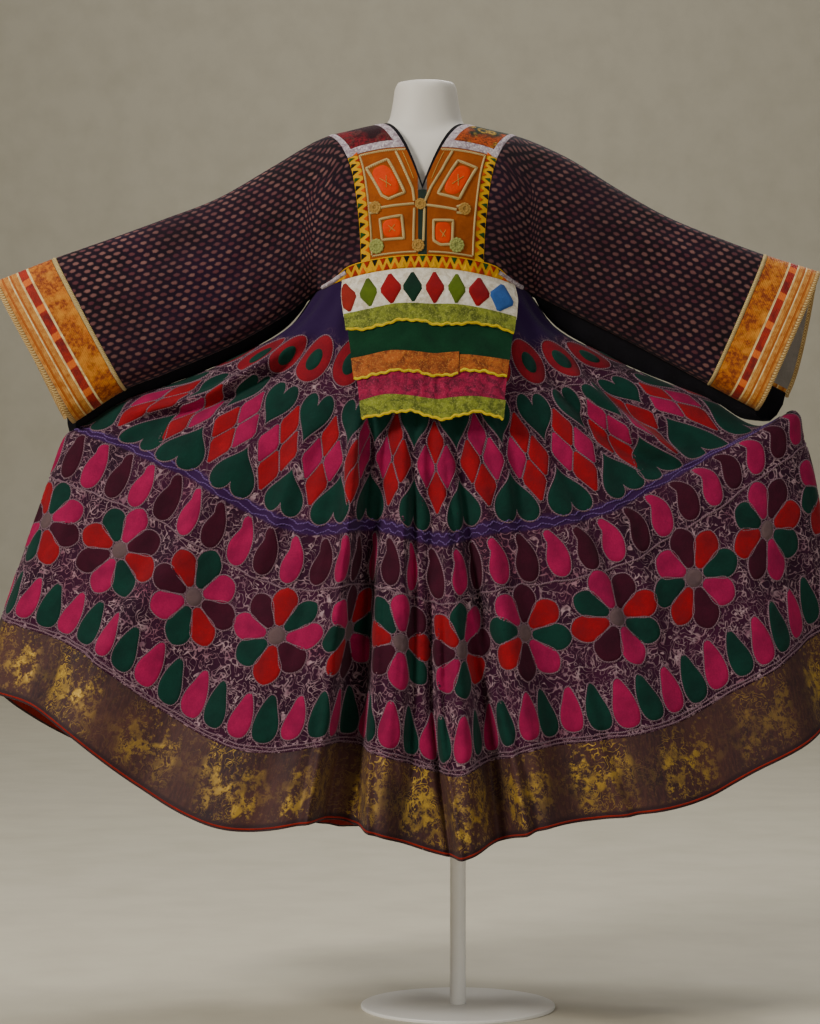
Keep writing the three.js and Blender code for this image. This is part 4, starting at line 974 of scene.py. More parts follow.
def build_shoulder(side, paint, slot):
    sign, name = side["sign"], side["name"]
    rows = span(PATCH_ROW, PATCH_BACK, 44)

    def neck_side(row):
        return neck_edge(side, row, BINDING + SEAM) + 0.4

    def inner(row):
        return neck_side(row) + BRAID_WIDE + 3

    def outer(row):
        return sleeve_edge(row) - BRAID_WIDE

    share = span(0, 1, 16)[None, :]
    grid_rows = rows[:, None] + 0.001 * (rows[:, None] == PATCH_ROW)
    across = mix(inner(rows[:, None]) + SEAM, outer(rows[:, None]) - SEAM, share)
    body_piece("shoulder_patch_" + name, sign * across, grid_rows, paint, slot)
    low = BIB_TOP + 0.0016
    t = span(0, 1, 16)
    down = rows[::-1]
    under = mix(neck_side(low), sleeve_edge(low) - SEAM, t)
    outside = [*zip(neck_side(down), down), *((u, low) for u in under), *zip(sleeve_edge(rows) - SEAM, rows)]
    above = mix(inner(PATCH_ROW), outer(PATCH_ROW), t)
    within = [*zip(inner(down), down), *((u, PATCH_ROW - 0.0002) for u in above), *zip(outer(rows), rows)]
    ends = np.stack([np.array(outside, float), np.array(within, float)])
    strip = mix(ends[:1], ends[1:], span(0, 1, 5)[:, None, None])
    lift = BAND - CLOTH + 0.5 * np.sin(math.pi * span(0, 1, 5))[:, None]
    flat = np.zeros(strip.shape[:2])
    outer_points, inner_points = lifted(*BODY, sign * strip[..., 0], strip[..., 1], lift + flat, flat - CLOTH)
    obj = wall("shoulder_braid_" + name + "_fine", outer_points, inner_points, PAINTS["silver"])
    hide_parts("shoulder_braid_" + name)
    declare(obj, outer_points, "hung")


def build_middle():
    rows = span(TRIM_ROW + ROW_GAP, neck_low(BINDING + 1), 30)[:, None]
    body_piece("placket", span(-PLACK_HALF, PLACK_HALF, 6)[None, :], rows, "slit", "slit_cloth")
    start = sleeve_edge(TRIM_ROW) + SEAM
    out = np.concatenate([span(0, start, 40), span(start, mix(start, BODICE_SIDE, 0.8), 20)[1:]])
    all_across = np.concatenate([-out[:0:-1], out])[None, :]
    rows = mix(0.0004, trim_floor(abs(all_across)), span(0, 1, 6)[:, None])
    body_piece("waist_trim", all_across, rows, "yellow", "zigzag_trim")

    def edge(wide):
        low = neck_low(wide)
        half = []
        for side in (RIGHT, LEFT):
            front = mix(low, 0.5, span(0.03, 1, 30))
            back = 0.5 + neck_back(wide) * np.sin(span(0, math.pi / 2, 24)[1:])
            rows = np.concatenate([front, back])
            half.append(np.stack([side["sign"] * neck_edge(side, rows, wide), rows], -1))
        return np.concatenate([[[0, low]], half[0], half[1][:-1][::-1]])

    edges = mix(edge(0)[None], edge(BINDING)[None], span(0, 1, 3)[:, None, None])
    body_piece("neck_binding", edges[..., 0], edges[..., 1], "black", "neck_piping", closed=True)
    wide = BINDING + SEAM
    top = sleeve_edge(PATCH_BACK) - SEAM
    upper = []
    for side in (LEFT, RIGHT):
        beside = [(side["sign"] * share * top, PATCH_BACK + 0.001) for share in (1, 0.93, 0.86)]
        rows = [0.5 + neck_back(wide) * math.sin(angle) for angle in span(0, math.pi / 2, 8)]
        rows = [row for row in rows if row > PATCH_BACK]
        under = [(side["sign"] * float(neck_edge(side, row, wide)), row + 0.0008) for row in rows]
        upper.append(beside + under)
    upper = refine(upper[0] + upper[1][:-1][::-1])
    rows = np.concatenate([span(PATCH_BACK, 0.6, 8), span(0.6, 1, 56)[1:]])[:, None]
    down = (rows - PATCH_BACK) / (1 - PATCH_BACK)
    even = np.linspace(-1, 1, len(upper))[None, :]
    across = (sleeve_edge(rows) - SEAM) * mix(upper[None, :, 0] / top, even, smooth(down))
    body_piece("bodice_back", across, mix(upper[None, :, 1], 1, down), "dots", "dotted_cloth", CLOTH)


# Applique on a surface.
JOIN_WITHIN = 2e-5


class Applique:
    """Flat patches with turned edges and their outline cords, gathered by finish and joined at the end."""

    def __init__(self, name, surface, inside, slot, base=0.0):
        self.name, self.surface, self.inside, self.slot, self.base = name, surface, inside, slot, base
        self.patches, self.cords = {}, {}

    def patch(self, rings, paint, high=1.0):
        """rings is (ring, point, 2), from the outline to the middle point, in the surface's own places."""
        self.patches.setdefault(paint, []).append((rings, high))

    def cord(self, line, paint, wide, high, closed=True, lift=0.0):
        self.cords.setdefault((paint, wide, high), []).append((line, closed, lift))

    def finish(self):
        made = []
        for paint, items in self.patches.items():
            rings = [r for r, _ in items]
            flat = np.concatenate([r.reshape(-1, 2) for r in rings])
            points, normal = self.surface(flat[:, 0], flat[:, 1]), outward(self.surface, self.inside, *flat.T)
            lifts, faces, total = [], [], 0
            for r, high in items:
                count, n = r.shape[:2]
                lift = np.full((count, n), self.base + high)
                lift[0], lift[1] = self.base - 0.2, self.base + 0.85 * high
                lifts.append(lift.ravel())
                faces += [strip + total for strip in ring_faces(count, n)]
                total += count * n
            points = points + np.concatenate(lifts)[:, None] * normal
            made.append(self.join(paint, points, np.concatenate(faces), normal))
        for (paint, wide, high), items in self.cords.items():
            flat = np.concatenate([line for line, _, _ in items])
            points, normal = self.surface(flat[:, 0], flat[:, 1]), outward(self.surface, self.inside, *flat.T)
            lines, k = [], 0
            for line, closed, lift in items:
                n = len(line)
                up = normal[k : k + n]
                lines.append((points[k : k + n] + (self.base + lift) * up, up, closed))
                k += n
            points, faces, uv = cord_mesh(lines, wide, high)
            name = f"{self.name}_cord_{paint}_{int(wide * 10)}"
            obj = make(name, points, faces, uv, material=PAINTS[paint], sharp=180)
            made.append(obj)
        return made

    def join(self, paint, points, faces, normal):
        p = points[faces]
        turned = (np.cross(p[:, 2] - p[:, 0], p[:, 3] - p[:, 1]) * normal[faces[:, 0]]).sum(-1) < 0
        faces[turned] = faces[turned][:, ::-1]
        keep = [list(dict.fromkeys(f)) for f in faces.tolist()]
        obj = make(f"{self.name}_{paint}", points, keep, material=PAINTS[paint], sharp=180)
        work = bmesh.new()
        work.from_mesh(obj.data)
        bmesh.ops.remove_doubles(work, verts=work.verts, dist=JOIN_WITHIN)
        work.to_mesh(obj.data)
        work.free()
        return obj


def rings_of(outline, count=5):
    """Rings from an outline in to its middle: the outline, a close second one, and evenly on from there."""
    outline = np.asarray(outline, float)
    middle = outline.mean(0)
    shares = np.concatenate([[1], np.linspace(0.94, 0.0, count)])
    shares[-1] = 0.004
    return middle + (outline - middle) * shares[:, None, None]


def resample(outline, count, closed=True):
    """A polyline with its points evenly spaced."""
    outline = np.asarray(outline, float)
    line = np.concatenate([outline, outline[:1]]) if closed else outline
    run = np.concatenate([[0], np.cumsum(np.linalg.norm(np.diff(line, axis=0), axis=1))])
    at = np.linspace(0, run[-1], count + 1)[:-1] if closed else np.linspace(0, run[-1], count)
    return np.stack([np.interp(at, run, line[:, k]) for k in (0, 1)], -1)


def rounded(corners, count, passes=2):
    """A closed shape through corners, cut smooth."""
    line = np.asarray(corners, float)
    for _ in range(passes):
        after = np.roll(line, -1, 0)
        line = np.stack([0.78 * line + 0.22 * after, 0.22 * line + 0.78 * after], 1).reshape(-1, 2)
    return resample(line, count)


def turned(shape, angle):
    """A flat shape, turned."""
    c, s = math.cos(angle), math.sin(angle)
    return shape @ np.array([[c, s], [-s, c]])


# Skirt.
# How many columns of faces each quarter has, and half the gap between two of them as a share of a turn.
COLUMNS = (280, 280, 130, 130)
HALF_GAP = 0.00009
SKIRT = (skirt, skirt_inside)


def panel(name, nodes, index, rows, thick, paint):
    """A quarter of the skirt, over the given rows."""
    turn = np.linspace(index / 4, (index + 1) / 4, COLUMNS[index] + 1)[None, :]
    turn[0, 0] += HALF_GAP
    turn[0, -1] -= HALF_GAP
    outer, inner = lifted(*SKIRT, turn, rows[:, None], thick - CLOTH, -CLOTH)
    place = np.stack(np.broadcast_arrays(turn, rows[:, None]), -1)
    obj = wall(name, outer, inner, PAINTS[paint], place=place)
    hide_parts(*nodes)
    return obj, outer


def build_skirt():
    made = []
    rows = np.concatenate([span(ROW_GAP, 0.13, 15), span(0.13, BORDER_TOP - ROW_GAP, 56)[1:]])
    for i in range(4):
        nodes = [f"skirt_gore_{2 * i + 1}", f"skirt_gore_{2 * i + 2}"]
        made.append((*panel(f"skirt_{i + 1}", nodes, i, rows, CLOTH, "ground"), "gathered"))
    for i in range(4):
        made.append((*panel(f"hem_border_fine_{i + 1}", [f"hem_border_{i + 1}"], i, span(BORDER_TOP, 1, 13),
                            BAND, "hem"), "hung"))
    turn = np.concatenate([(i + np.arange(n) / n) / 4 for i, n in enumerate(COLUMNS)])[None, :]
    down = span(FACING_TOP, 0.996, 4)[:, None]
    outer, inner = lifted(*SKIRT, turn, down, -CLOTH - 1.2, -CLOTH - 2.2)
    obj = wall("hem_facing_fine", outer, inner, PAINTS["facing"], closed=True)
    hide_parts("hem_facing")
    made.append((obj, outer, "hung"))
    return made


class Cloth:
    """Distances on the skirt, so that motifs keep their size over its folds."""

    def __init__(self):
        self.turns, self.downs = span(-0.1, 1.1, 1920), span(0.02, 1, 98)
        points = skirt(self.turns[None, :], self.downs[:, None])
        self.run = lengths(points, 1)
        self.whole = np.array([np.interp(1, self.turns, r) - np.interp(0, self.turns, r) for r in self.run])
        self.long = lengths(points, 0)[-1] / (self.downs[-1] - self.downs[0])

    def level(self, down):
        """The number of the level above a height, and the share of the way to the next."""
        k = np.clip((down - self.downs[0]) / (self.downs[1] - self.downs[0]), 0, len(self.downs) - 1.001)
        return k.astype(int), k - k.astype(int)

    def at(self, turn, down, x, y):
        """The place x mm to the right of and y mm above a place; x grows with the row's own fullness."""
        long = np.interp(turn, self.turns, self.long)
        target = down - y / long
        k0 = self.level(np.array([down]))[0][0]
        k, f = self.level(np.atleast_1d(target))
        x = np.atleast_1d(x)
        result = np.zeros(len(k))
        for level in np.unique(k):
            pick = k == level
            found = []
            for row in (level, level + 1):
                start = np.interp(turn, self.turns, self.run[row])
                goal = start + x[pick] * self.whole[row] / self.whole[k0]
                found.append(np.interp(goal, self.run[row], self.turns))
            result[pick] = mix(found[0], found[1], f[pick])
        return np.stack([result, target], -1)


def even_turns(cloth, down, count, offset):
    """Turns that lie evenly on the cloth at a height."""
    k = cloth.level(np.array([down]))[0][0]
    run, whole = cloth.run[k], cloth.whole[k]
    start = np.interp(0, cloth.turns, run)
    goals = start + (np.arange(count) + offset) / count * whole
    return np.interp(goals, run, cloth.turns)


def circle(count):
    return np.linspace(0, 2 * math.pi, count, endpoint=False)


# The motifs' outlines, about 1 wide and 1 high.
ROUND = circle(50)
HEART_HIGH = 13 * np.cos(ROUND) - 5 * np.cos(2 * ROUND) - 2 * np.cos(3 * ROUND) - np.cos(4 * ROUND)
HEART = np.stack([16 * np.sin(ROUND) ** 3, HEART_HIGH + 2.5], -1) / (32, 29)
OVAL = np.stack([np.cos(ROUND), np.sin(ROUND)], -1) / 2
DIAMOND = rounded([(0, 0.5), (0.27, 0.22), (0.5, 0), (0.27, -0.22), (0, -0.5), (-0.27, -0.22), (-0.5, 0),
                   (-0.27, 0.22)], 20, 1)
PETAL = rounded([(0, -0.07), (0.2, -0.13), (0.5, -0.26), (0.74, -0.25), (0.9, -0.15), (1, 0), (0.9, 0.15),
                 (0.74, 0.25), (0.5, 0.26), (0.2, 0.13), (0, 0.07)], 26, 1)
PAISLEY = rounded([(0.02, -0.5), (0.36, -0.4), (0.5, -0.12), (0.42, 0.14), (0.2, 0.34), (-0.02, 0.5),
                   (-0.26, 0.47), (-0.3, 0.34), (-0.2, 0.22), (-0.36, 0.05), (-0.48, -0.16), (-0.34, -0.42)],
                  30)
DROP = rounded([(0.0, -0.5), (0.36, -0.44), (0.5, -0.2), (0.44, 0.1), (0.3, 0.32), (0.14, 0.5), (-0.1, 0.46),
                (-0.26, 0.2), (-0.44, -0.04), (-0.5, -0.28), (-0.34, -0.46)], 28)
CURL_TURN = np.arange(12) * 0.62 + 0.3
CURL = (0.42 - 0.034 * np.arange(12))[:, None] * np.stack([np.cos(CURL_TURN), np.sin(CURL_TURN)], -1)


def build_motifs(skirt_pieces):
    cloth = Cloth()
    dice = np.random.default_rng(5)
    rows = {key: Applique("applique_" + key, *SKIRT, "skirt_cloth") for key in ("upper", "middle", "lower")}

    def put(group, turn, down, outline, size, paint, shift=(0, 0), line="pale", wide=2.7, high=1.1, rings=5,
            loose=1.0):
        """One patch with its outline cord, a little uneven in tilt, size and place."""
        tilt = dice.normal(0, 0.03) * loose
        scale = 1 + dice.normal(0, 0.025) * loose
        shape = turned(np.asarray(outline) * size * scale, tilt) + shift + dice.normal(0, 0.9, 2) * loose
        grid = rings_of(shape, rings)
        places = cloth.at(turn, down, grid[..., 0].ravel(), grid[..., 1].ravel()).reshape(grid.shape)
        rows[group].patch(places, paint, high)
        if line:
            rows[group].cord(places[0], line, wide, 1.5, lift=0.1)

    def curl(group, turn, down, centre, size, mirror=1):
        shape = CURL * (size * mirror, size) + centre
        rows[group].cord(cloth.at(turn, down, shape[:, 0], shape[:, 1]), "pale", 2.2, 1.4, closed=False)

    for turn in even_turns(cloth, 0.165, 24, 0.3):
        put("upper", turn, 0.165, OVAL, (54, 86), "ring", wide=2.4)
        put("upper", turn, 0.168, OVAL, (25, 42), "green", line=None, high=2.0, rings=3)
    middle, count = 0.3475, 28
    for turn in even_turns(cloth, middle, count, 0.25):
        put("upper", turn, middle, HEART, (66, 86), "green", shift=(0, 63), high=1.5, rings=7)
        put("upper", turn, middle, -HEART, (66, 86), "green", shift=(0, -63), high=1.5, rings=7)
        curl("upper", turn, middle, (0, 90), 9)
        curl("upper", turn, middle, (0, -90), 9, -1)
    tones = (("red", "pink", "red", "red"), ("red", "pink", "pink", "red"), ("pink", "red", "pink", "red"))
    for i, turn in enumerate(even_turns(cloth, middle, count, 0.75)):
        for shift, paint in zip(((0, 41), (-19, 0), (19, 0), (0, -41)), tones[i % 3]):
            put("upper", turn, middle, DIAMOND, (38, 81), paint, shift, wide=2.2, high=1.4, loose=0.4)
    for i, turn in enumerate(even_turns(cloth, 0.527, 64, 0.1)):
        put("middle", turn, 0.53, PAISLEY, (41, 82), ("pink", "maroon")[i % 2], wide=2.4, high=1.6, rings=6)
        curl("middle", turn, 0.53, (-7, 37), 11)
    petals = ("maroon", "pink", "green", "red")
    for i, turn in enumerate(even_turns(cloth, 0.662, 22, 0.35)):
        start = dice.integers(0, 4)
        lean = dice.uniform(-0.2, 0.2)
        for k in range(8):
            shape = turned(PETAL * (65 + 3 * math.sin(3 * k + i), 86) + (15, 0), k * math.pi / 4 + lean)
            put("middle" if k % 2 else "lower", turn, 0.662, shape, 1.0, petals[(k + start) % 4], wide=2.6,
                high=1.5, rings=6, loose=0.35)
        put("middle", turn, 0.662, OVAL, (29, 29), "centre", high=1.5, rings=3, wide=2.0)
    for i, turn in enumerate(even_turns(cloth, 0.805, 84, 0.2)):
        mirror = (1, -1)[i % 2]
        put("lower", turn, 0.806, DROP * (mirror, 1), (42, 78), ("pink", "green")[i % 2], wide=2.4, high=1.6,
            rings=6)
        curl("lower", turn, 0.806, (2 * mirror, 33), 9, mirror)
    full = np.linspace(0, 1, 900, endpoint=False)
    for group, down, swing, waves, paint, wide in (
        ("middle", 0.463, 0.0028, 84, "mauve", 2.8), ("middle", 0.475, 0.003, 76, "mauve", 2.4),
        ("middle", 0.579, 0.0012, 60, "pale", 3.2), ("upper", 0.228, 0.002, 50, "pale", 2.2),
        ("lower", 0.8545, 0.0008, 60, "pale", 2.8), ("lower", 0.861, 0.0008, 54, "pale", 2.8),
    ):
        phase = full * 2 * math.pi * waves
        line = down + swing * np.sin(phase) + 0.3 * swing * np.sin(phase * 2.7)
        rows[group].cord(np.stack([full, line], -1), paint, wide, 1.3)
    made = [obj for group in rows.values() for obj in group.finish()]
    trim = Applique("hem_edge", *SKIRT, "hem_brocade", BAND - CLOTH)
    trim.cord(np.stack([full, np.full(900, 0.9955)], -1), "facing", 3.0, 1.2)
    made += trim.finish()
    for k, (obj, outer, held) in enumerate(skirt_pieces):
        declare(obj, outer, held)


# Apron.
# The bands: name, top and low edge, layer, left and right end, how much the low edge waves, paint, slot.
BANDS = [
    ("apron_white", 0, 0.255, 0, -1, 1, 0, "white", "apron_white"),
    ("apron_green", 0.258, 0.6, 0, -0.97, 0.98, 0, "apron_green", "apron_green"),
    ("apron_crimson", 0.603, 0.9, 0, -0.93, 0.97, 2, "crimson", "apron_crimson"),
    ("apron_ribbon_top", 0.235, 0.365, 1, -0.99, 0.99, 3, "olive", "ribbon_olive"),
    ("apron_orange_left", 0.56, 0.71, 1, -0.97, 0.36, 2, "ribbon_orange", "ribbon_orange"),
    ("apron_orange_right", 0.58, 0.7, 1, 0.37, 0.97, 2, "ribbon_orange", "ribbon_orange"),
    ("apron_ribbon_low", 0.87, 1, 1, -0.93, 0.98, 4, "olive", "ribbon_olive"),
]
APRON_LONG = 258


def build_apron():
    edges = Applique("apron_edge", apron, apron_inside, "ribbon_olive")
    for name, top, low, layer, start, end, ruffle, paint, slot in BANDS:
        across = np.linspace(start, end, int(60 * (end - start)) + 1)[None, :]
        share = span(0, 1, 14 if layer else 24)[:, None]
        down = mix(top, low, share) + ruffle / 250 * np.cos(7 * across + top * 20) * share
        base = layer * LAYER
        if name == "apron_crimson":
            pleat = 1.6 * np.sin(across * 34 + 2 * np.sin(across * 5)) * smooth((share - 0.05) / 0.5)
            pleat = pleat * (0.55 + 0.45 * np.sin(across * 9 + 1))
        elif layer:
            pleat = 0.7 * np.sin(across * 26 + 9 * top) * share
        else:
            pleat = 0.4 * np.sin(across * 14 + 6 * share) * smooth(share / 0.3)
        lift = base + np.maximum(pleat, -0.9 if layer == 0 else -0.3)
        outer, inner = lifted(apron, apron_inside, across, down, lift + BAND, lift)
        obj = wall(name + "_fine", outer, inner, PAINTS[paint])
        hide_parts(name)
        declare(obj, outer, "gathered" if name == "apron_crimson" else "hung")
        if layer:
            line = np.linspace(start + 0.01, end - 0.01, 150)
            scallop = 0.01 * abs(np.sin(line * 11 + 3 * top)) + 0.004 * np.sin(line * 53) - 0.004
            low_line = low + ruffle / 250 * np.cos(7 * line + top * 20) + scallop - 0.008
            edges.cord(np.stack([line, low_line], -1), "edge", 4.6, 1.2, closed=False, lift=base + BAND + 0.1)
    diamonds = Applique("apron_diamond", apron, apron_inside, "apron_white", BAND)
    for k, (tone, wide, tall, lean) in enumerate((
        ("d_rust", 34, 56, 0.12), ("d_olive", 31, 56, 0.06), ("d_red", 37, 60, 0.03), ("d_green", 34, 59, 0),
        ("d_red", 33, 61, 0), ("d_olive", 31, 59, -0.03), ("d_red", 37, 59, -0.06), ("d_blue", 40, 57, -0.14),
    )):
        grid = rings_of(turned(DIAMOND * (wide, tall), lean), 4)
        across = -0.945 + k * 0.2525 + grid[..., 0] / 136
        down = 0.127 - grid[..., 1] / APRON_LONG
        diamonds.patch(np.stack([np.clip(across, -0.995, 0.995), down], -1), tone, 0.9)
    edges.finish()
    diamonds.finish()


# The bib's work.
def pixel_at(deep):
    """How many mm a pixel of the front view spans at a depth."""
    return PIXEL * (1 - deep / CAMERA[1])


def seen(px, py):
    """The place on the bodice that lies behind a place of the front view, in pixels."""
    rows = np.linspace(0.02, 0.49, 300)
    across = (px - VIEW_MIDDLE[0]) * pixel_at(-WAIST["front"]) + CAMERA[0] - DRESS_X
    for _ in range(4):
        p = bodice(np.full(300, across), rows)
        high = VIEW_MIDDLE[1] - (p[:, 2] - CAMERA[2]) / pixel_at(p[:, 1])
        row = np.interp(-py, -high, rows)
        deep = np.interp(row, rows, p[:, 1])
        across = CAMERA[0] + (px - VIEW_MIDDLE[0]) * pixel_at(deep) - DRESS_X
    return across, float(row)


def build_bib_work():
    work = Applique("bib_work", *BODY, "bib_cloth", BAND - CLOTH)
    aspect = np.array([1.0, ROWS_LONG])

    def line(points, paint="cream", wide=4.6, high=2.4, closed=False, lift=0.05):
        """A cord through points of the front view."""
        path = np.array([seen(*p) for p in points]) * aspect
        whole = np.concatenate([path, path[:1]]) if closed else path
        run = np.linalg.norm(np.diff(whole, axis=0), axis=1).sum()
        path = resample(path, max(6, int(run / 3.5)), closed) / aspect
        work.cord(path, paint, wide, high, closed, lift)

    def triangles(pairs, mirror=1):
        """Small cloth triangles in pairs of corners and paint."""
        for corners, paint in pairs:
            shape = resample(np.array(corners) * aspect, 12) / aspect
            work.patch(rings_of(shape, 3) * (mirror, 1), paint, 0.8)

    # The cream frames and lines of the bib, by their corners in the front view's pixels.
    frames = (
        [(365.7, 168.6), (387.3, 159.2), (404.5, 192.4), (388, 199), (381.2, 195.5)],
        [(458.2, 160.8), (477.1, 168), (459.6, 199.2), (438, 193.5)],
        [(379.2, 219.4), (401.4, 215.3), (403.7, 238.4), (381.6, 240)],
        [(433.7, 220), (453.5, 220.4), (452.7, 244.1), (440.8, 244.9), (433.7, 240.4)],
    )
    for corners in map(np.array, frames):
        middle = corners.mean(0)
        places = np.array([seen(*p) for p in middle + (corners - middle) * 0.86])
        work.patch(rings_of(rounded(places * aspect, 36), 6) / aspect, "orange", 1.0)
        line(corners, wide=5.0, high=2.6, closed=True)
        for pair in ([0, 2], [1, 3]):
            line(middle + (corners[pair] - middle) * 0.3, "button_gold", 1.5, 1.0, lift=1.0)
    for points in (
        [(395.5, 151.5), (404.5, 170.5), (412.5, 188.5), (414.2, 201)],
        [(452.6, 151.5), (442, 170), (431, 187.3), (425, 201)],
        [(377.6, 208.2), (396, 205.2), (414, 203.6)],
        [(424.5, 204.7), (440, 206.6), (456.8, 209.6)],
        [(414.2, 208), (413.6, 225), (413.4, 241)],
        [(424.6, 208), (424, 225), (423.4, 241)],
        [(377.6, 212.5), (368.5, 213.2)], [(377.6, 206), (368.5, 203.2)],
        [(456.8, 212.5), (466.5, 213.5)], [(456.8, 207), (466.5, 203.8)],
    ):
        line(points)
    for side in SIDES:
        rows = span(0.036, 0.288, 60)
        out = side["sign"] * (sleeve_edge(rows) - TRIM_WIDE - 3.2)
        work.cord(np.stack([out, rows], -1), "cream", 3.6, 2.2, False, 0.05)
        for row in (0.034, 0.287):
            start = max(PLACK_HALF + 3, float(neck_edge(side, row, BINDING + 3)))
            across = side["sign"] * np.linspace(start, float(sleeve_edge(row)) - TRIM_WIDE - 4, 26)
            work.cord(np.stack([across, np.full(26, row)], -1), "cream", 3.4, 2.2, False, 0.05)
        rows = span(0.2, 0.28, 40)
        inner = side["sign"] * (neck_edge(side, rows, BINDING + 0.6) + 8)
        work.cord(np.stack([inner, rows], -1), "button_gold", 1.6, 1.0, False)
        # Triangles on the yellow trim beside the sleeve.
        for k, row in enumerate(np.arange(0.038, 0.288, 0.0225)):
            edge = float(sleeve_edge(row))
            outer = [(edge - 0.6, row - 0.007), (edge - 0.6, row + 0.007), (edge - 10.5, row)]
            inner = [(edge - 14.4, row + 0.004), (edge - 14.4, row + 0.018), (edge - 7, row + 0.0115)]
            triangles(((outer, ("ink", "ink", "trim_green")[k % 3]),
                       (inner, ("trim_orange", "trim_red", "trim_orange")[k % 3])), side["sign"])
        # Frayed braid past the ends of the waist trim.
        across = np.linspace(126, 168, 24)
        row = trim_floor(across) * 0.5 + 0.004
        work.cord(np.stack([side["sign"] * across, row], -1), "silver", 7.5, 2.6, False, 0.1)
    for k, across in enumerate(np.arange(-156, 157, 13.0)):
        floor = float(trim_floor(abs(across)))
        if floor < 0.006:
            continue
        half = 5.2 * min(1, floor / 0.02 + 0.2)
        up = [(across - half, floor * 0.96), (across + half, floor * 0.96), (across, floor * 0.42)]
        tip = across + 6.5
        low = [(tip - half, floor * 0.06), (tip + half, floor * 0.06), (tip, floor * 0.6)]
        triangles(((up, ("trim_green", "trim_red", "ink", "trim_red")[k % 4]),
                   (low, ("trim_orange", "yellow", "trim_orange", "trim_red")[k % 4])))
    across = np.linspace(-160, 160, 120)
    work.cord(np.stack([across, trim_floor(abs(across)) * 0.98], -1), "yellow", 2.4, 1.2, False)
    work.finish()


# The stitched buttons: name, place across in mm and in rows, radius and thread, then their section.
ROSETTES = [
    ("rosette_low_left", -75, 0.053, 12, "button"), ("rosette_low_right", 56, 0.052, 12, "button"),
    ("rosette_low_middle", -7, 0.047, 10, "button_gold"), ("rosette_neck", -3, 0.137, 9, "button_gold"),
    ("rosette_side_left", -77, 0.137, 10, "button_gold"),
    ("rosette_side_right", 69, 0.132, 10, "button_gold"),
]
ROSETTE_SECTION = [
    (0.02, 1.7), (0.12, 2.2), (0.2, 1.5), (0.26, 1.9), (0.36, 2.9), (0.5, 3.1), (0.62, 2.6), (0.68, 1.9),
    (0.74, 2.4), (0.84, 2.7), (0.94, 2.3), (1.0, 1.4), (1.02, 0.3), (0.9, 0.1), (0.02, 0.1),
]


def build_rosettes():
    turn = circle(72)
    for name, across, row, radius, paint in ROSETTES:
        middle, normal = bodice(across, row), outward(bodice, bodice_inside, np.array(across), np.array(row))
        u = np.cross(normal, (0, 0, 1))
        u /= np.linalg.norm(u)
        v = np.cross(normal, u)
        points = []
        for share, high in ROSETTE_SECTION:
            out = radius * share * (1 + 0.05 * np.cos(12 * turn) * (share > 0.5))
            lift = high + 0.4 * np.cos(12 * turn) * (0.3 < share < 0.95) * (high > 1)
            flat = (out * np.cos(turn))[:, None] * u + (out * np.sin(turn))[:, None] * v
            points.append(middle + flat + (0.6 + lift)[:, None] * normal)
        count, n = len(points), len(turn)
        round_it = np.linspace(0, 2 * math.pi, n) * radius / 1000
        uv = np.stack(np.broadcast_arrays(round_it, np.linspace(0, radius / 500, count)[:, None]), -1)
        obj = make(name + "_fine", np.concatenate(points), capped(count, n), uv.reshape(-1, 2),
                   material=PAINTS[paint], sharp=70)
        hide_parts(name)


# Form, stand, room.
NECK = table("at x y mid shift", [
    (1405, 68, 60, -5, 6), (1440, 65, 56, -3, 6), (1456, 62, 54, -2, 6), (1478, 57, 52, -2, 6),
    (1502, 53, 50, -3, 6), (1519, 51, 49, -3, 6), (1524, 49.5, 47.5, -3, 6), (1525, 46, 44, -3, 6),
])
TORSO = table("at x y mid shift", [
    (800, 132, 84, 4, 34), (804, 138, 90, 4, 34), (860, 160, 104, 6, 26), (930, 164, 106, 6, 18),
    (1000, 152, 98, 4, 12), (1080, 134, 90, 2, 8), (1150, 136, 92, 0, 4), (1205, 138, 92, -1, 2),
    (1250, 138, 92, -1, 0),
])


def loft(name, loops):
    """A closed solid through loops of points, with flat ends."""
    mesh = bpy.data.meshes.new(name)
    mesh.from_pydata((np.concatenate(loops) / 1000).tolist(), [], capped(len(loops), len(loops[0])))
    obj = bpy.data.objects.new(name, mesh)
    bpy.context.scene.collection.objects.link(obj)
    work = bmesh.new()
    work.from_mesh(mesh)
    bmesh.ops.recalc_face_normals(work, faces=work.faces)
    work.to_mesh(mesh)
    work.free()
    return obj


def apply_modifiers(obj):
    evaluated = obj.evaluated_get(bpy.context.evaluated_depsgraph_get())
    mesh = bpy.data.meshes.new_from_object(evaluated)
    obj.modifiers.clear()
    obj.data = mesh


# Half the width of the form's shoulders, and the height where they end in its trunk.
SHOULDER_HALF, SHOULDER_LOW = 158, 1232


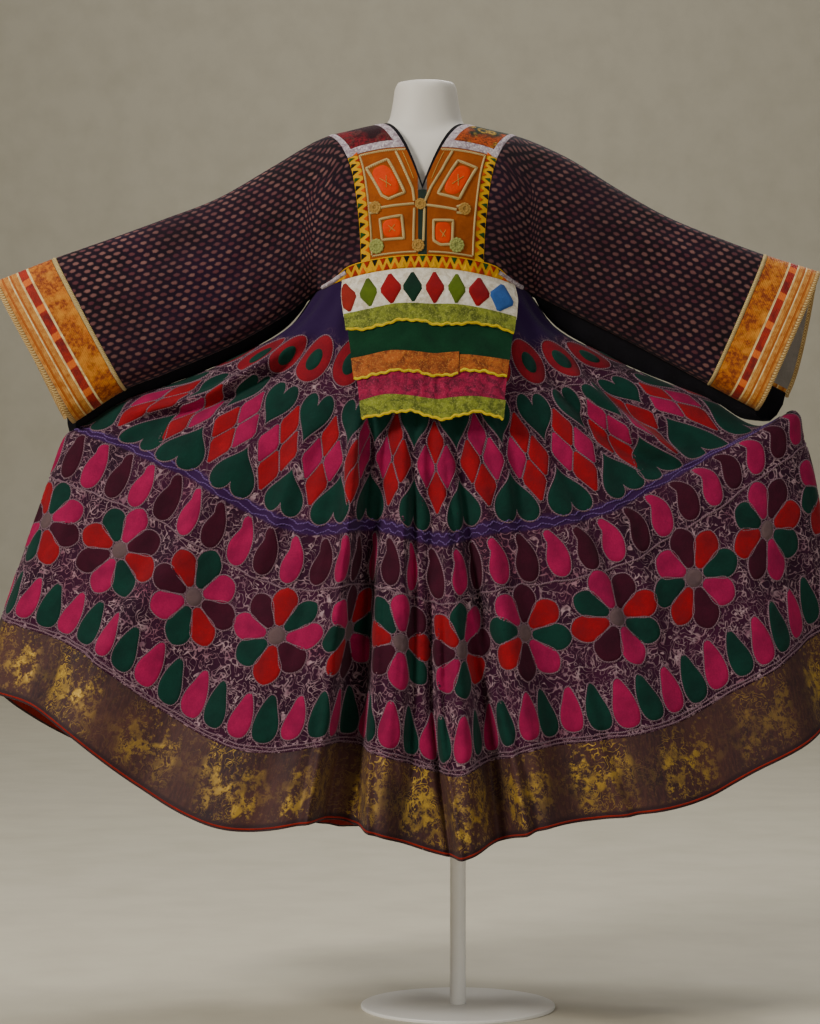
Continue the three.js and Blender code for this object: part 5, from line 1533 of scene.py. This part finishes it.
def build_form():
    turn = circle(96)
    parts = []
    for rows, count in ((NECK, 36), (TORSO, 60)):
        loops = []
        for at in np.unique(np.concatenate([np.linspace(rows["at"][0], rows["at"][-1], count), rows["at"]])):
            x, y, mid, shift = (along(rows, key, at) for key in ("x", "y", "mid", "shift"))
            loops.append(stack(DRESS_X + shift + x * np.sin(turn), mid - y * np.cos(turn), at))
        parts.append(loft("form_part", loops))
    rows = np.linspace(0.1, 0.9, 70)
    inset = mix(12, BAND + 0.5, smooth(1 - abs(rows - 0.5) / 0.22)) + 1.0
    loops = []
    for share in np.linspace(-1, 1, 41):
        across = SHOULDER_HALF * math.sin(math.pi / 2 * share)
        shrink = math.sqrt(max(0.12, 1 - abs(across / SHOULDER_HALF) ** 8))
        p = lifted(*BODY, np.full(70, across), rows, -inset)[0]
        p[:, 1] = mix(along(STATIONS, "mid", 0.0), p[:, 1], shrink)
        ends = p[[0, -1]] * (1, 1, 0) + (0, 0, SHOULDER_LOW)
        loops.append(np.concatenate([ends[:1], p, ends[1:]]))
    parts.append(loft("form_part", loops))
    form = parts[0]
    for other in parts[1:]:
        union = form.modifiers.new("union", "BOOLEAN")
        union.object, union.operation, union.solver = other, "UNION", "EXACT"
    even = form.modifiers.new("even", "REMESH")
    even.mode, even.voxel_size = "VOXEL", 0.0075
    soft = form.modifiers.new("soft", "SMOOTH")
    soft.factor, soft.iterations = 0.5, 5
    apply_modifiers(form)
    for other in parts[1:]:
        bpy.data.objects.remove(other)
    form.name = "dress_form_shell"
    form.data.polygons.foreach_set("use_smooth", [True] * len(form.data.polygons))
    form.data.materials.clear()
    form.data.materials.append(PAINTS["form"])
    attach(form, "root")
    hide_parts("dress_form")


def lathe(name, profile, node):
    """A round piece of the stand, from its section in radius and height."""
    turn = circle(96)
    obj = loft(name, [stack(r * np.cos(turn), r * np.sin(turn), z) for r, z in profile])
    obj.data.polygons.foreach_set("use_smooth", [True] * len(obj.data.polygons))
    obj.data.set_sharp_from_angle(angle=math.radians(50))
    obj.data.materials.append(PAINTS["stand"])
    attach(obj, "root")
    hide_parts(node)


def rounded_edge(r, z, size, start):
    angles = math.radians(start) + np.linspace(0, math.pi / 2, 6)
    return [(r + size * math.cos(a), z + size * math.sin(a)) for a in angles]


def build_stand():
    rim = [*rounded_edge(158.5, 1.5, 1.5, -90), *rounded_edge(158, 4, 2, 0)]
    lathe("stand_plate", [(150, 0.0), *rim, (24, 6.05), (20, 6.1)], "stand_base")
    lathe("stand_tube", [(12.6, 6.3), (13, 7), (13, 60), (13, 400), (13, 799), (12.8, 799.7)], "stand_pole")


def build_room():
    """A pale floor that curves up into a wall, lights, and the camera at the photo's place, in metres."""
    far, high, half_wide, bend = 11.0, 9.0, 14, 1.2
    profile = [(-far, 0), (far - bend, 0)]
    for angle in np.linspace(0.1, math.pi / 2, 12):
        profile.append((far - bend + bend * math.sin(angle), bend - bend * math.cos(angle)))
    profile.append((far, high))
    points = [(x, y, z) for y, z in profile for x in (-half_wide, half_wide)]
    faces = [[2 * k, 2 * k + 1, 2 * k + 3, 2 * k + 2] for k in range(len(profile) - 1)]
    mesh = bpy.data.meshes.new("room")
    mesh.from_pydata(points, [], faces)
    mesh.polygons.foreach_set("use_smooth", [True] * len(faces))
    mesh.materials.append(painted("floor", "d0c8b2", "bdb59f", 0.7))
    room = bpy.data.objects.new("room", mesh)
    bpy.context.scene.collection.objects.link(room)
    chest, hem, backdrop = (-0.06, 0, 0.85), (-0.06, 0, 0.1), (0, far, 0.9)
    for name, place, aim, size, power, warm in (
        ("key", (-3.3, -2.6, 3.5), chest, 1.1, 190, (1, 0.96, 0.9)),
        ("fill", (3.2, -3.8, 1.7), chest, 2.6, 17, (0.93, 0.96, 1)),
        ("rear", (0.9, 2.9, 4.1), chest, 1.4, 70, (1, 0.98, 0.96)),
        ("top", (0.3, 0.2, 3.9), chest, 2.2, 46, (1, 0.98, 0.95)),
        ("low", (1.3, -2.6, 0.45), hem, 0.7, 9, (1, 0.97, 0.9)),
        ("wall", (0, 5.5, 5), backdrop, 3, 105, (1, 0.98, 0.95)),
    ):
        light = bpy.data.lights.new(name, "AREA")
        light.energy, light.size, light.color = power, size, warm
        obj = bpy.data.objects.new(name, light)
        obj.location = place
        obj.rotation_euler = (Vector(aim) - Vector(place)).to_track_quat("-Z", "Y").to_euler()
        bpy.context.scene.collection.objects.link(obj)
    world = bpy.data.worlds.new("studio")
    world.use_nodes = True
    world.node_tree.nodes["Background"].inputs[0].default_value = (0.72, 0.74, 0.76, 1)
    world.node_tree.nodes["Background"].inputs[1].default_value = 0.17
    bpy.context.scene.world = world
    lens = bpy.data.cameras.new("camera")
    lens.sensor_width, lens.sensor_fit = 36, "AUTO"
    lens.lens = lens.sensor_width * 2788 / (2 * VIEW_MIDDLE[1])
    camera = bpy.data.objects.new("camera", lens)
    camera.location, camera.rotation_euler = Vector(CAMERA) / 1000, (math.pi / 2, 0, 0)
    bpy.context.scene.collection.objects.link(camera)
    bpy.context.scene.camera = camera


build_room()
build_form()
build_stand()
for side in SIDES:
    build_sleeve(side)
    build_underarm(side)
    build_cuff(side)
    build_bib(side)
build_shoulder(LEFT, "patch_left", "patch_maroon")
build_shoulder(RIGHT, "patch_right", "patch_green")
build_middle()
build_bib_work()
build_rosettes()
build_apron()
build_motifs(build_skirt())
for name, (wide, long, area) in CUT.items():
    print(f"cut {name}: {wide:.2f} x {long:.2f} m, {area:.3f} square metres")
